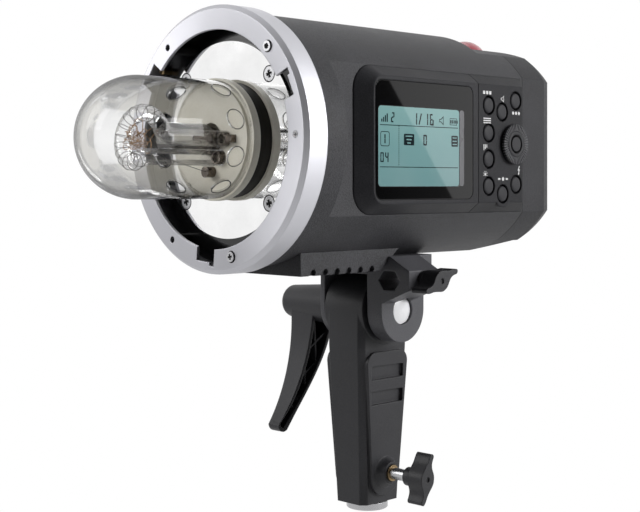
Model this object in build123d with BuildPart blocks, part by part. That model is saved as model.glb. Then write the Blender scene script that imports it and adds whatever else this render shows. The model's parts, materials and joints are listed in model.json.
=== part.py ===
from build123d import *
import math
import os

# Monolight strobe. Millimetres, +Z up, the light points along -Y.
# The origin is the centre of the stand socket's mouth. The head's own coordinates are
# X across, "depth" behind the mount ring's face and "height" above the head's axis.

# ---- Driving dimensions ----

TILT_Z = 103.5            # tilt axis above the socket's mouth
UNDER_BODY = 28.2         # underside of the housing above the tilt axis
RING_FRONT = 106.0        # ring face ahead of the tilt axis

FIT = 0.1                 # clearance of a piece seated in its pocket
GAP = 0.4                 # clearance of pieces that move past each other
SHAFT_PLAY = 0.05         # radial play of a shaft in its bore

# Mount ring
RING_OPEN_R = 50.9
RING_BAND = 11.6          # from the opening to the ring's outside
RING_R = RING_OPEN_R + RING_BAND
RING_DEPTH = 13.0
RING_CHAMFER = 2.0
RING_LIP = 1.6
RING_WALL = 4.0
NOTCH_ANGLE = 25.0
NOTCH_COUNT = 3
NOTCH_WIDTH = 12.5
NOTCH_REACH = 6.1
NOTCH_R = RING_OPEN_R + NOTCH_REACH
NOTCH_START = 1.0         # the notches' cut begins this far inside the opening
NOTCH_STEP_WIDTH = 3.2
POST_OUT = 4.5            # posts outside the opening
RING_POST_R = RING_OPEN_R + POST_OUT
RING_POST_ANGLES = (47.0, 126.0, 238.4, 284.0)
RING_SCREW_ANGLES = (47.0, 284.0)
SET_SCREW_ANGLE = 1.0
RING_SCREW_HEAD_R = 2.4
RING_SCREW_R = 1.5
RING_SCREW_PROUD = 0.8
POST_R = 2.9

# Lock pin and its slider
PIN_ANGLE = 141.7
PIN_OUT = 5.1
PIN_AT_R = RING_OPEN_R + PIN_OUT
PIN_R = 1.9
PIN_TIP_DEPTH = 5.0
PIN_TRAVEL = 4.0
SLIDER_LENGTH = 9.0
SLIDER_WIDTH = 7.0
SLIDER_PROUD = 3.4        # above the housing
SLIDER_EDGE = 0.8

# Barrel plate, reflector and lamp
FLOOR_DEPTH = 10.0        # front face of the barrel plate
SPIGOT_LENGTH = 4.0
REFLECTOR_MARGIN = 4.7    # inside the ring's opening
REFLECTOR_R = RING_OPEN_R - REFLECTOR_MARGIN
REFLECTOR_THICK = 1.2
REFLECTOR_SCREW_IN = 4.76
REFLECTOR_SCREW_AT = (REFLECTOR_R - REFLECTOR_SCREW_IN) / math.sqrt(2)
REFLECTOR_HEAD_R = 3.4
REFLECTOR_SHANK_R = 1.5
REFLECTOR_HEAD_H = 1.8
REFLECTOR_SCREW_LENGTH = 6.5
BASE_FACE_DEPTH = -0.8
BASE_FACE_R = 25.2
BASE_RIM_R = 28.4
BASE_RIM_FRONT = 0.6
BASE_RIM_BACK = 4.6
GASKET_R = 27.0
PLUG_R = 18.0
PLUG_DEPTH = 24.0
SOCKET_WALL = 3.0
BASE_HOLE_R = 7.6
BASE_HOLE_DEPTH = 6.0
DOME_R = 27.4
DOME_WALL = 1.3
DOME_CENTRE_DEPTH = -43.2
VENT_COUNT = 10
VENT_ANGLE = 18.0
VENT_R = 4.6
VENT_DEPTH = -8.2
COIL_R = 11.0
TUBE_R = 3.9
COIL_BACK = -39.0
COIL_RISE = 5.6
COIL_TURNS = 0.86
LEG_R = 2.2
WIRE_R = 0.35
WIRE_PLAY = 0.03
WIRE_WRAPS = 12
LAMP_TUBE_R = 7.2
LAMP_TUBE_WALL = 1.0
LAMP_TUBE_FRONT = -27.0
LAMP_TUBE_BACK = -5.6
HOLDER_FRONT_R = 6.4
HOLDER_BACK_R = 4.6
TERMINAL_AT = (1.4, -15.0)
TERMINAL_R = 2.6
TERMINAL_HEIGHT = 5.0
FERRULE_R = 3.2
FERRULE_HEIGHT = 3.0
CLIP_SIZE = 3.6
BURNER_R = 3.0
BURNER_FRONT = -22.0

# Housing
RING_STEP = 2.5           # housing inside the ring's outside
BODY_R = RING_R - RING_STEP
WALL = 2.6
FLAT_START = 28.0         # where the side flats begin
FLAT_CUT = 11.6           # control side
FLAT_X = BODY_R - FLAT_CUT
BATTERY_FLAT_CUT = 14.0
BATTERY_FLAT_X = BODY_R - BATTERY_FLAT_CUT
BOTTOM_CUT = 3.5
BOTTOM_H = BOTTOM_CUT - BODY_R
TILT_DROP = UNDER_BODY - BOTTOM_H
HEAD_Z = TILT_Z + TILT_DROP
SHELL_END = 175.0         # seam between the shell and the rear cap
CAP_END = 201.0
SHELF_START = 152.5       # step down to the rear shelf
SHELF_DROP = 5.5
SHELF_CROWN_H = BODY_R - SHELF_DROP
SHELF_CROWN = 6.1
SHELF_EDGE_H = SHELF_CROWN_H - SHELF_CROWN
TAIL_START = 166.0        # where the underside begins to rise
TAIL_RISE = 5.0
TAIL_H = BOTTOM_H + TAIL_RISE
TAIL_END = 191.0
CAP_BEVEL_DEPTH = 6.0
CAP_BEVEL_SIDE = 2.0
BOSS_R = 4.0
BOSS_X = 38.0
BOSS_H = 32.0
BOSS_LENGTH = 12.0
HOUSING_SCREW_R = 1.5
HOUSING_HEAD_R = 2.9
HOUSING_HEAD_H = 1.8
HOUSING_SINK = 0.3
DOME_LENS_R = 11.2
LENS_RIM = 0.8            # shoulder of the lens's boss round the lens
DOME_LENS_DEPTH = SHELL_END + DOME_LENS_R + LENS_RIM
LENS_PROUD = 5.3
DOME_LENS_TOP_H = SHELF_CROWN_H + LENS_PROUD
LENS_SEAT = 3.5
DOME_LENS_SEAT_H = SHELF_CROWN_H - LENS_SEAT
LENS_BOSS_H = 2.4

# Console on the control side
CONSOLE_RISE = 6.6
CONSOLE_X = FLAT_X + CONSOLE_RISE
CONSOLE_SET_BACK = 1.0
CONSOLE_SLOPE = 8.0
KEY_FIELD = 37.3          # from the seam beside the screen to the face's end
CONSOLE_BASE_START = 43.5
CONSOLE_BASE_END = SHELL_END - CONSOLE_SET_BACK
CONSOLE_BASE_H = 35.2
CONSOLE_FACE_START = 51.0
CONSOLE_FACE_END = CONSOLE_BASE_END - CONSOLE_SLOPE
CONSOLE_FACE_H = 30.0
CONSOLE_BASE_CORNER = 12.0
CONSOLE_FACE_CORNER = 6.5
CONSOLE_SPLIT = CONSOLE_FACE_END - KEY_FIELD
SEAM = 0.3
CONSOLE_SKIN = 2.0
GLASS_START = 51.9
GLASS_RIM_BACK = 4.2
GLASS_END = CONSOLE_SPLIT - GLASS_RIM_BACK
GLASS_H = 28.0
GLASS_THICK = 1.6
GLASS_CORNER = 4.0
LCD_START = 53.9
LCD_RIM_BACK = 10.6
LCD_END = GLASS_END - LCD_RIM_BACK
LCD_TOP_H = 16.1
LCD_BOTTOM_H = -21.9
LCD_DROP = 0.15           # face of the display below the glass
BOARD_THICK = 1.6
BOARD_START = 54.0
BOARD_PAST = 4.0
BOARD_END = CONSOLE_FACE_END + BOARD_PAST
BOARD_H = 29.0

# Keys: depth and height of each, by name
KEY_IN = 8.8
KEY_COLUMN = CONSOLE_SPLIT + KEY_IN
KEYS = {
    "key_top_front": (KEY_COLUMN, 19.4),
    "key_top_mid": (CONSOLE_FACE_END - 17.3, 16.4),
    "key_top_rear": (CONSOLE_FACE_END - 5.7, 22.6),
    "key_menu": (KEY_COLUMN, 5.4),
    "key_lamp": (KEY_COLUMN, -7.9),
    "key_low_front": (KEY_COLUMN, -21.7),
    "key_low_mid": (CONSOLE_FACE_END - 16.8, -25.7),
    "key_low_rear": (CONSOLE_FACE_END - 5.4, -20.8),
}
KEY_R = 4.6
KEY_FLANGE = 1.0
KEY_FLANGE_THICK = 1.6
KEY_TRAVEL = 0.8
SWITCH_R = 1.6
SWITCH_HEIGHT = 1.2
COLLARED_KEY = "key_low_mid"
COLLAR_WALL = 1.9
DIAL_IN = 8.4
DIAL_DEPTH = CONSOLE_FACE_END - DIAL_IN
DIAL_R = 10.4
DIAL_THICK = 2.2
DIAL_RIBS = 36
DIAL_RIB_PAST = 2.0       # the grooves' cut runs past the rim
DIAL_FACE_R = 7.2
DIAL_HUB_R = 6.4
SET_R = 3.9
ENCODER_HEIGHT = 1.4

# Battery bay and pack
BAY_FLOOR_X = -19.4
BAY_START = 51.5
BAY_END = 160.5
BAY_H = 32.5
BAY_WALL = 2.0
BAY_CLEARANCE = 0.5
PACK_PROUD = 12.0
PACK_X = -BATTERY_FLAT_X - PACK_PROUD
PACK_CHAMFER = 8.0
LATCH_START = 56.0
LATCH_LENGTH = 15.2
LATCH_H = 9.0
LATCH_POCKET = 3.0
LATCH_TRAVEL = 4.0
LATCH_PROUD = 0.2
CHECK_DEPTH = 150.0
CHECK_H = -20.0
CHECK_R = 3.4
CHECK_THICK = 2.2
CHECK_POCKET = 4.0
LED_R = 1.2
LED_HEIGHTS = (-10.0, -4.0, 2.0, 8.0)
LED_THICK = 1.0
CONTACT_R = 1.2
CONTACT_PROUD = 1.2
CONTACT_POCKET_DEPTH = 2.2
CONTACT_DEPTHS = (70.0, 78.0, 86.0, 94.0)

# Flash bank, main board and fan
MAIN_BOARD_H = 40.0
MAIN_BOARD_START = 48.0
MAIN_BOARD_END = 150.0
STANDOFF = 1.0
CAPACITOR_R = 14.4
CAPACITOR_START = 52.0
CAPACITOR_LENGTH = 64.0
CAPACITOR_SPACE = 0.6
CAPACITOR_ROWS = 3
CAPACITOR_COLUMNS = 2
FAN_X = 16.0
FAN_SIZE = 50.0
FAN_THICK = 15.0
FAN_BORE_R = 23.6
FAN_BLADE_R = 22.8
FAN_HUB_R = 10.0
FAN_BLADES = 7
FAN_SPIDER = 1.4
FAN_PIN_R = 1.5
FAN_RING_GAP = 0.6
FAN_BLADE_THICK = 1.2
FAN_BLADE_LEAN = 35.0
FAN_BLADE_ROOT = 1.0      # each blade begins this far inside the hub
GRILLE_SLOTS = 7
GRILLE_PITCH = 6.0
GRILLE_SLOT = 2.8
GRILLE_LENGTH = 40.0

# Rear sockets and switch
PANEL_X = -28.0
PANEL_WIDTH = 28.0
PANEL_BOTTOM_H = -29.0
PANEL_TOP_H = 29.0
PANEL_THICK = 1.6
SWITCH_H = 17.5
ROCKER_WIDTH = 11.0
ROCKER_HEIGHT = 16.0
ROCKER_THICK = 6.0
ROCKER_PROUD = 1.2
ROCKER_BACK = 3.0         # pivot behind the plate's face
ROCKER_PIN_R = 1.0
ROCKER_PIN_IN = 1.2
POCKET_MARGIN = 0.9
POCKET_WALL = 2.6
POCKET_DEPTH = 8.0
PORT_H = -13.0
PORT_WIDTH = 15.0
PORT_HEIGHT = 20.0
COVER_THICK = 1.6
COVER_LIFT = 0.5
JACK_R = 1.8
USB_WIDTH = 9.0
USB_HEIGHT = 3.4
HINGE_R = 1.7
HINGE_PIN_R = 0.9
HINGE_LUG = 3.0

# Intake skirt under the barrel
SKIRT_HALF = 29.0
SKIRT_DEEP = 7.1
SKIRT_BOTTOM_H = BOTTOM_H - SKIRT_DEEP
SKIRT_START = 29.0
SKIRT_END = 84.0
SKIRT_TOP_END = 98.6
SKIRT_LAP = 4.5
SKIRT_TOP_H = BOTTOM_H + SKIRT_LAP
SKIRT_WALL = 2.0
SKIRT_SLOTS = 6
SKIRT_PITCH = 8.1
SKIRT_FIRST = 36.7
SKIRT_SLOT_WIDTH = 2.8
SKIRT_SLOT_HEIGHT = 3.4
SKIRT_SLOT_OPEN = 2.0     # the slots run past the skirt's lower edge
SKIRT_SLOT_LEAN = 45.0

# Fork, umbrella block and tilt bolt, about the tilt axis
EAR_R = 16.2
EAR_IN = 15.0
EAR_OUT = 24.6
LEFT_EAR_THICK = 3.0
EAR_BORE_R = 7.2
EAR_COUNTERBORE = 6.0
HUB_CLEARANCE = 0.7
BLOCK_X = 42.7
BLOCK_TOP_X = 30.0
BLOCK_BACK = 6.2
BLOCK_TOP_DROP = 6.8
BLOCK_BOTTOM = 4.4
BLOCK_BOTTOM_RISE = 7.3
HEX_X = 29.7
HEX_UP = 16.2
HEX_WIDTH = 14.4
HEX_HEIGHT = 9.4
WING_FORWARD = 5.0
WING_UP = 16.6
WING_RECESS_R = 4.4
WING_RECESS = 2.0
BOLT_R = 5.0
BOLT_HEAD_R = 6.9
BOLT_HEAD_IN = 0.3        # dome's crown below the right ear's face
BOLT_RIM_IN = 0.9
WASHER_R = 13.0
WASHER_THICK = 1.2
BRACKET_SCREW_X = 10.0
BRACKET_SCREW_SPACING = 18.0
BRACKET_HEAD_R = 3.4
BRACKET_HEAD_H = 2.4
BRACKET_SHANK_R = 2.0
BRACKET_SCREW_LENGTH = 8.0
BRACKET_SINK = 0.4

# Tilt lever
LEVER_START = 18.6
LEVER_NECK = 4.4
LEVER_NECK_R = 7.0
LEVER_HUB_R = 10.8
LEVER_TIP_R = 8.6
LEVER_TIP_EDGE = 3.6
LEVER_END = 57.0
LEVER_OUT = 48.6
LEVER_IN = 31.5
LEVER_TIP_OUT = 43.6
LEVER_TIP_IN = 36.4
LEVER_REACH = 67.6
LEVER_TIP_BULGE = 2.2
LEVER_WALL = 2.0
LEVER_WEB = 3.0
LEVER_CAP = 6.0
LEVER_FRONT = ((-8.2, -4.0), (-11.0, -25.6), (-18.0, -45.0), (-29.2, -62.6))
LEVER_BACK = ((7.8, -4.0), (6.0, -17.4), (-3.4, -37.6), (-22.8, -65.4))
LEVER_RIBS = ((-3.0, -21.0), (-9.5, -37.0), (-18.0, -52.0))
LEVER_RIB = 1.1
LEVER_RIB_LEAN = 32.0
LEVER_ARM_LEAN = -24.0

# Umbrella and stand screws with their wing knobs
SCREW_R = 3.0
WING_HALF = (
    (4.9, 0.4),
    (4.3, 3.0),
    (3.4, 5.3),
    (3.3, 7.4),
    (4.2, 9.8),
    (4.6, 11.3),
    (3.5, 12.4),
    (2.0, 11.4),
    (0.2, 8.3),
    (-2.5, 5.0),
    (-4.4, 2.4),
)
WING_THICK = 9.4
WING_DIMPLE_R = 1.4
WING_DIMPLE = 0.8
WING_CAP = 3.0
UMBRELLA_TURN = -51.0
CLAMP_TURN = 0.0
COLLAR_R = 4.7
COLLAR_LENGTH = 3.4
UMBRELLA_KNOB_END = 54.5
CLAMP_KNOB_END = 41.1
CLAMP_Z = 20.0

# Grip and stand socket
HUB_HALF = 13.2
GRIP_HUB_R = 18.0
GRIP_BOTTOM_Z = 4.0
GRIP_BOTTOM_X = 21.0
GRIP_BOTTOM_Y = 28.0
GRIP_TOP_Z = 84.0
GRIP_TOP_X = 25.6
GRIP_CHAMFER = 2.8
PANEL_OUT = 14.5
PANEL_BOTTOM_OUT = 12.6
TONGUE_TOP_Z = 82.0
TONGUE_BOTTOM_Z = 8.0
TONGUE_TOP_HALF = 15.6
TONGUE_BOTTOM_HALF = 9.5
TONGUE_TOP_CORNER = 6.0
TONGUE_BOTTOM_CORNER = 9.0
SLOT_LENGTH = 24.0
SLOT_HEIGHT = 6.8
SLOT_HEIGHTS = (71.4, 58.6)
SLOT_DEPTH = 5.0
SLOT_CORNER = 0.8
BOSS_CONE_R = 9.6
BOSS_FACE_R = 5.6
BOSS_FACE_X = 17.4
INSERT_R = 4.15
INSERT_PROUD = 0.8
INSERT_LENGTH = 6.0
SOCKET_R = 8.05           # 5/8 inch stud
SLEEVE_R = 8.95
SOCKET_FLANGE_R = 10.75
SOCKET_LENGTH = 46.0
FLANGE_EDGE = 0.5

# ---- Planes and axes ----


def front_plane(depth):
    """Plane across the head at a depth, seen from the front: x to the right, y up."""
    return Plane(origin=(0, depth - RING_FRONT, HEAD_Z), x_dir=(1, 0, 0), z_dir=(0, -1, 0))


def side_plane(x):
    """Plane beside the head: x is depth, y is height, the normal points to +X."""
    return Plane(origin=(x, -RING_FRONT, HEAD_Z), x_dir=(0, 1, 0), z_dir=(1, 0, 0))


def top_plane(height):
    """Plane above the head's axis: x across, y is depth, the normal points up."""
    return Plane(origin=(0, -RING_FRONT, HEAD_Z + height), x_dir=(1, 0, 0), z_dir=(0, 0, 1))


def tilt_plane(x):
    """Plane across the tilt axis: x is behind the axis, y is above it, normal +X."""
    return Plane(origin=(x, 0, TILT_Z), x_dir=(0, 1, 0), z_dir=(1, 0, 0))


def radial_plane(angle, radius):
    """Plane tangent to the head at an angle: x is depth, y goes round, normal outward."""
    turn = math.radians(angle)
    out = (math.cos(turn), 0, math.sin(turn))
    origin = (radius * out[0], -RING_FRONT, HEAD_Z + radius * out[2])
    return Plane(origin=origin, x_dir=(0, 1, 0), z_dir=out)


def polar(radius, angle):
    """Point of a front plane at a radius and an angle."""
    turn = math.radians(angle)
    return (radius * math.cos(turn), radius * math.sin(turn))


HEAD_AXIS = Axis((0, -RING_FRONT, HEAD_Z), (0, 1, 0))
AXIAL = top_plane(0)      # x is radius, y is depth

os.makedirs("parts", exist_ok=True)


def turned(points):
    """Solid of revolution about the head's axis, from (radius, depth) points."""
    with BuildPart() as body:
        with BuildSketch(AXIAL):
            with BuildLine():
                Polyline(*points, close=True)
            make_face()
        revolve(axis=HEAD_AXIS)
    return body.part


def driven_screw(place, head_r, head_h, shank_r, length, countersunk=False):
    """Cross-head screw: the head's top is at the place and the shank goes down from it."""
    with BuildPart() as screw:
        if countersunk:
            Cone(shank_r, head_r, head_h, align=(Align.CENTER, Align.CENTER, Align.MAX))
        else:
            Cylinder(head_r, head_h, align=(Align.CENTER, Align.CENTER, Align.MAX))
        Cylinder(shank_r, length, align=(Align.CENTER, Align.CENTER, Align.MAX))
        recess = head_h * 0.6
        for turn in (0, 90):
            Box(head_r * 1.1, head_r * 0.26, 2 * recess, rotation=(0, 0, turn), mode=Mode.SUBTRACT)
    return place * screw.part


# ---- Mount ring, lock pin and barrel plate ----

RECESS_R = RING_R - RING_WALL
POST_DEPTH = FLOOR_DEPTH - RING_LIP

with BuildPart() as front_ring:
    with BuildSketch(AXIAL):
        with BuildLine():
            Polyline(
                (RING_OPEN_R, 0),
                (RING_R - RING_CHAMFER, 0),
                (RING_R, RING_CHAMFER),
                (RING_R, RING_DEPTH),
                (RECESS_R, RING_DEPTH),
                (RECESS_R, RING_LIP),
                (RING_OPEN_R, RING_LIP),
                close=True,
            )
        make_face()
    revolve(axis=HEAD_AXIS)
    with BuildSketch(front_plane(0)):
        notch_in = RING_OPEN_R - NOTCH_START
        with PolarLocations((notch_in + NOTCH_R) / 2, NOTCH_COUNT, NOTCH_ANGLE):
            Rectangle(NOTCH_R - notch_in, NOTCH_WIDTH)
        with PolarLocations((notch_in + RECESS_R) / 2, NOTCH_COUNT, NOTCH_ANGLE):
            with Locations((0, (NOTCH_WIDTH - NOTCH_STEP_WIDTH) / 2)):
                Rectangle(RECESS_R - notch_in, NOTCH_STEP_WIDTH)
        for angle in RING_POST_ANGLES + (SET_SCREW_ANGLE,):
            with Locations(polar(RING_POST_R, angle)):
                Circle(RING_SCREW_R + FIT)
    extrude(amount=-RING_LIP, mode=Mode.SUBTRACT)

ring_screw_solids = [
    driven_screw(
        front_plane(-RING_SCREW_PROUD).location * Location((*polar(RING_POST_R, angle), 0)),
        RING_SCREW_HEAD_R,
        RING_SCREW_PROUD,
        RING_SCREW_R,
        FLOOR_DEPTH,
    )
    for angle in RING_SCREW_ANGLES
]
set_screw_solid = driven_screw(
    front_plane(0).location * Location((*polar(RING_POST_R, SET_SCREW_ANGLE), 0)),
    RING_SCREW_R,
    RING_LIP,
    RING_SCREW_R,
    POST_DEPTH,
)
with BuildPart() as ring_screws:
    add(ring_screw_solids)
    add(set_screw_solid)

barrel_outline = turned(
    [
        (0, PLUG_DEPTH),
        (PLUG_R + FIT, PLUG_DEPTH),
        (PLUG_R + FIT, FLOOR_DEPTH),
        (RECESS_R - FIT, FLOOR_DEPTH),
        (RECESS_R - FIT, RING_DEPTH),
        (BODY_R - WALL - FIT, RING_DEPTH),
        (BODY_R - WALL - FIT, RING_DEPTH + SPIGOT_LENGTH),
        (PLUG_R + SOCKET_WALL, RING_DEPTH + SPIGOT_LENGTH),
        (PLUG_R + SOCKET_WALL, PLUG_DEPTH + SOCKET_WALL),
        (0, PLUG_DEPTH + SOCKET_WALL),
    ]
)
with BuildPart() as mount_barrel:
    add(barrel_outline)
    with BuildSketch(front_plane(RING_LIP)):
        for angle in RING_POST_ANGLES + (SET_SCREW_ANGLE,):
            with Locations(polar(RING_POST_R, angle)):
                Circle(POST_R)
    extrude(amount=-POST_DEPTH)
    with BuildSketch(front_plane(RING_LIP)):
        for angle in RING_SCREW_ANGLES + (SET_SCREW_ANGLE,):
            with Locations(polar(RING_POST_R, angle)):
                Circle(RING_SCREW_R + FIT)
    extrude(amount=-POST_DEPTH - FIT, mode=Mode.SUBTRACT)
    with BuildSketch(front_plane(FLOOR_DEPTH)):
        with Locations(polar(PIN_AT_R, PIN_ANGLE)):
            Circle(PIN_R + GAP)
    extrude(amount=FLOOR_DEPTH - RING_DEPTH - SPIGOT_LENGTH, mode=Mode.SUBTRACT)
    with BuildSketch(front_plane(FLOOR_DEPTH)):
        with GridLocations(2 * REFLECTOR_SCREW_AT, 2 * REFLECTOR_SCREW_AT, 2, 2):
            Circle(REFLECTOR_HEAD_R + FIT)
    extrude(amount=REFLECTOR_THICK - REFLECTOR_HEAD_H - FIT, mode=Mode.SUBTRACT)
    with BuildSketch(front_plane(FLOOR_DEPTH)):
        with GridLocations(2 * REFLECTOR_SCREW_AT, 2 * REFLECTOR_SCREW_AT, 2, 2):
            Circle(REFLECTOR_SHANK_R + FIT)
    extrude(amount=-REFLECTOR_SCREW_LENGTH, mode=Mode.SUBTRACT)

PIN_BACK = RING_DEPTH + SPIGOT_LENGTH + GAP + PIN_TRAVEL / 2
with BuildPart() as lock_pin:
    with BuildSketch(front_plane(PIN_TIP_DEPTH)):
        with Locations(polar(PIN_AT_R, PIN_ANGLE)):
            Circle(PIN_R)
    extrude(amount=PIN_TIP_DEPTH - PIN_BACK)
    chamfer(lock_pin.faces().sort_by(Axis.Y)[0].edges(), PIN_R / 4)

with BuildPart() as release_slider:
    with BuildSketch(radial_plane(PIN_ANGLE, PIN_AT_R - PIN_R)):
        with Locations((PIN_BACK + SLIDER_LENGTH / 2, 0)):
            Rectangle(SLIDER_LENGTH, SLIDER_WIDTH)
    extrude(amount=BODY_R + SLIDER_PROUD - PIN_AT_R + PIN_R)
    slider_top = release_slider.faces().sort_by_distance((0, -RING_FRONT, HEAD_Z))[-1]
    fillet(slider_top.edges(), SLIDER_EDGE)

# ---- Reflector and lamp ----

REFLECTOR_FACE = FLOOR_DEPTH - REFLECTOR_THICK

with BuildPart() as reflector_plate:
    with BuildSketch(front_plane(REFLECTOR_FACE)):
        Circle(REFLECTOR_R)
        Circle(PLUG_R + FIT, mode=Mode.SUBTRACT)
        with GridLocations(2 * REFLECTOR_SCREW_AT, 2 * REFLECTOR_SCREW_AT, 2, 2):
            Circle(REFLECTOR_HEAD_R + FIT, mode=Mode.SUBTRACT)
    extrude(amount=-REFLECTOR_THICK)

reflector_screw_solids = [
    driven_screw(
        front_plane(REFLECTOR_FACE).location * Location((across, up, 0)),
        REFLECTOR_HEAD_R,
        REFLECTOR_HEAD_H,
        REFLECTOR_SHANK_R,
        REFLECTOR_SCREW_LENGTH,
        countersunk=True,
    )
    for across in (-REFLECTOR_SCREW_AT, REFLECTOR_SCREW_AT)
    for up in (-REFLECTOR_SCREW_AT, REFLECTOR_SCREW_AT)
]
with BuildPart() as reflector_screws:
    add(reflector_screw_solids)

base_gasket_form = turned(
    [
        (PLUG_R + FIT, BASE_RIM_BACK),
        (GASKET_R, BASE_RIM_BACK),
        (GASKET_R, REFLECTOR_FACE),
        (PLUG_R + FIT, REFLECTOR_FACE),
    ]
)
with BuildPart() as base_gasket:
    add(base_gasket_form)

bulb_base_form = turned(
    [
        (0, BASE_FACE_DEPTH + BASE_HOLE_DEPTH),
        (BASE_HOLE_R, BASE_FACE_DEPTH + BASE_HOLE_DEPTH),
        (BASE_HOLE_R, BASE_FACE_DEPTH),
        (BASE_FACE_R, BASE_FACE_DEPTH),
        (BASE_FACE_R, BASE_RIM_FRONT),
        (BASE_RIM_R, BASE_RIM_FRONT),
        (BASE_RIM_R, BASE_RIM_BACK),
        (PLUG_R, BASE_RIM_BACK),
        (PLUG_R, PLUG_DEPTH),
        (0, PLUG_DEPTH),
    ]
)
with BuildPart() as bulb_base:
    add(bulb_base_form)

dome_in_r = DOME_R - DOME_WALL
with BuildPart() as glass_dome:
    with BuildSketch(AXIAL):
        with BuildLine():
            Line((dome_in_r, BASE_RIM_FRONT), (DOME_R, BASE_RIM_FRONT))
            Line((DOME_R, BASE_RIM_FRONT), (DOME_R, DOME_CENTRE_DEPTH))
            CenterArc((0, DOME_CENTRE_DEPTH), DOME_R, 0, -90)
            Line((0, DOME_CENTRE_DEPTH - DOME_R), (0, DOME_CENTRE_DEPTH - dome_in_r))
            CenterArc((0, DOME_CENTRE_DEPTH), dome_in_r, 0, -90)
            Line((dome_in_r, DOME_CENTRE_DEPTH), (dome_in_r, BASE_RIM_FRONT))
        make_face()
    revolve(axis=HEAD_AXIS)
    for vent in range(VENT_COUNT):
        with BuildSketch(radial_plane(VENT_ANGLE + vent * 360 / VENT_COUNT, 0)):
            with Locations((VENT_DEPTH, 0)):
                Circle(VENT_R)
        extrude(amount=DOME_R + 1, mode=Mode.SUBTRACT)

# The xenon tube is made in the front plane through the back of its coil
coil_place = front_plane(COIL_BACK).location
leg_length = BASE_FACE_DEPTH - COIL_BACK
coil_path = Helix(pitch=COIL_RISE / COIL_TURNS, height=COIL_RISE, radius=COIL_R)
with BuildPart() as coil:
    with BuildLine():
        add(coil_path)
    with BuildSketch(Plane(origin=coil_path @ 0, z_dir=coil_path % 0)):
        Circle(TUBE_R)
    sweep(is_frenet=True)
    for end in (0, 1):
        foot = coil_path @ end
        with Locations(foot):
            Sphere(TUBE_R)
        with Locations((foot.X, foot.Y, -leg_length)):
            Cylinder(LEG_R, leg_length + foot.Z, align=(Align.CENTER, Align.CENTER, Align.MIN))
with BuildPart() as flash_tube:
    add(coil_place * coil.part)

wire_ring_r = TUBE_R + WIRE_R + WIRE_PLAY
lead_start = coil_path @ 0.9 + Vector(0, 0, -wire_ring_r)
lead_end = Vector(*TERMINAL_AT, TERMINAL_HEIGHT - leg_length)
lead_path = Line(lead_start, lead_end)
with BuildPart() as wraps:
    for wrap in range(WIRE_WRAPS):
        share = (wrap + 1) / (WIRE_WRAPS + 1)
        ring_plane = Plane(origin=coil_path @ share, z_dir=coil_path % share)
        with Locations(ring_plane.location):
            Torus(wire_ring_r, WIRE_R)
    with BuildLine():
        add(lead_path)
    with BuildSketch(Plane(origin=lead_start, z_dir=lead_path % 0)):
        Circle(WIRE_R)
    sweep()
with BuildPart() as trigger_wire:
    add(coil_place * wraps.part)

lamp_tube_form = turned(
    [
        (0, LAMP_TUBE_FRONT),
        (LAMP_TUBE_R, LAMP_TUBE_FRONT),
        (LAMP_TUBE_R, LAMP_TUBE_BACK),
        (LAMP_TUBE_R - LAMP_TUBE_WALL, LAMP_TUBE_BACK),
        (LAMP_TUBE_R - LAMP_TUBE_WALL, LAMP_TUBE_FRONT + LAMP_TUBE_WALL),
        (0, LAMP_TUBE_FRONT + LAMP_TUBE_WALL),
    ]
)
with BuildPart() as modelling_lamp:
    add(lamp_tube_form)
    with BuildSketch(front_plane(BURNER_FRONT)):
        Circle(BURNER_R)
    extrude(amount=BURNER_FRONT - LAMP_TUBE_BACK)

holder_form = turned(
    [
        (0, LAMP_TUBE_BACK),
        (LAMP_TUBE_R, LAMP_TUBE_BACK),
        (HOLDER_FRONT_R, BASE_FACE_DEPTH - BASE_HOLE_DEPTH / 2),
        (HOLDER_BACK_R, BASE_FACE_DEPTH + BASE_HOLE_DEPTH),
        (0, BASE_FACE_DEPTH + BASE_HOLE_DEPTH),
    ]
)
with BuildPart() as lamp_holder:
    add(holder_form)

with BuildPart() as tube_terminals:
    with BuildSketch(front_plane(BASE_FACE_DEPTH)):
        for end in (0, 1):
            foot = coil_path @ end
            with Locations((foot.X, foot.Y)):
                Circle(FERRULE_R)
        foot = coil_path @ 0
        with Locations((foot.X + FERRULE_R + CLIP_SIZE / 2 - FIT, 0)):
            Rectangle(CLIP_SIZE, CLIP_SIZE)
        for end in (0, 1):
            foot = coil_path @ end
            with Locations((foot.X, foot.Y)):
                Circle(LEG_R + SHAFT_PLAY, mode=Mode.SUBTRACT)
    extrude(amount=FERRULE_HEIGHT)
    with BuildSketch(front_plane(BASE_FACE_DEPTH)):
        with Locations(TERMINAL_AT):
            Circle(TERMINAL_R)
    extrude(amount=TERMINAL_HEIGHT - WIRE_R)

# ---- Housing ----

shelf_half = math.sqrt(BODY_R**2 - SHELF_EDGE_H**2)
shelf_sag = SHELF_CROWN_H - SHELF_EDGE_H
SHELF_R = (shelf_half**2 + shelf_sag**2) / (2 * shelf_sag)
CLEAR_OF_BODY = 2 * BODY_R
ROCKER_AXIS_DEPTH = CAP_END - ROCKER_BACK
LENS_BOSS_R = DOME_LENS_R + LENS_RIM - FIT


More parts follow.
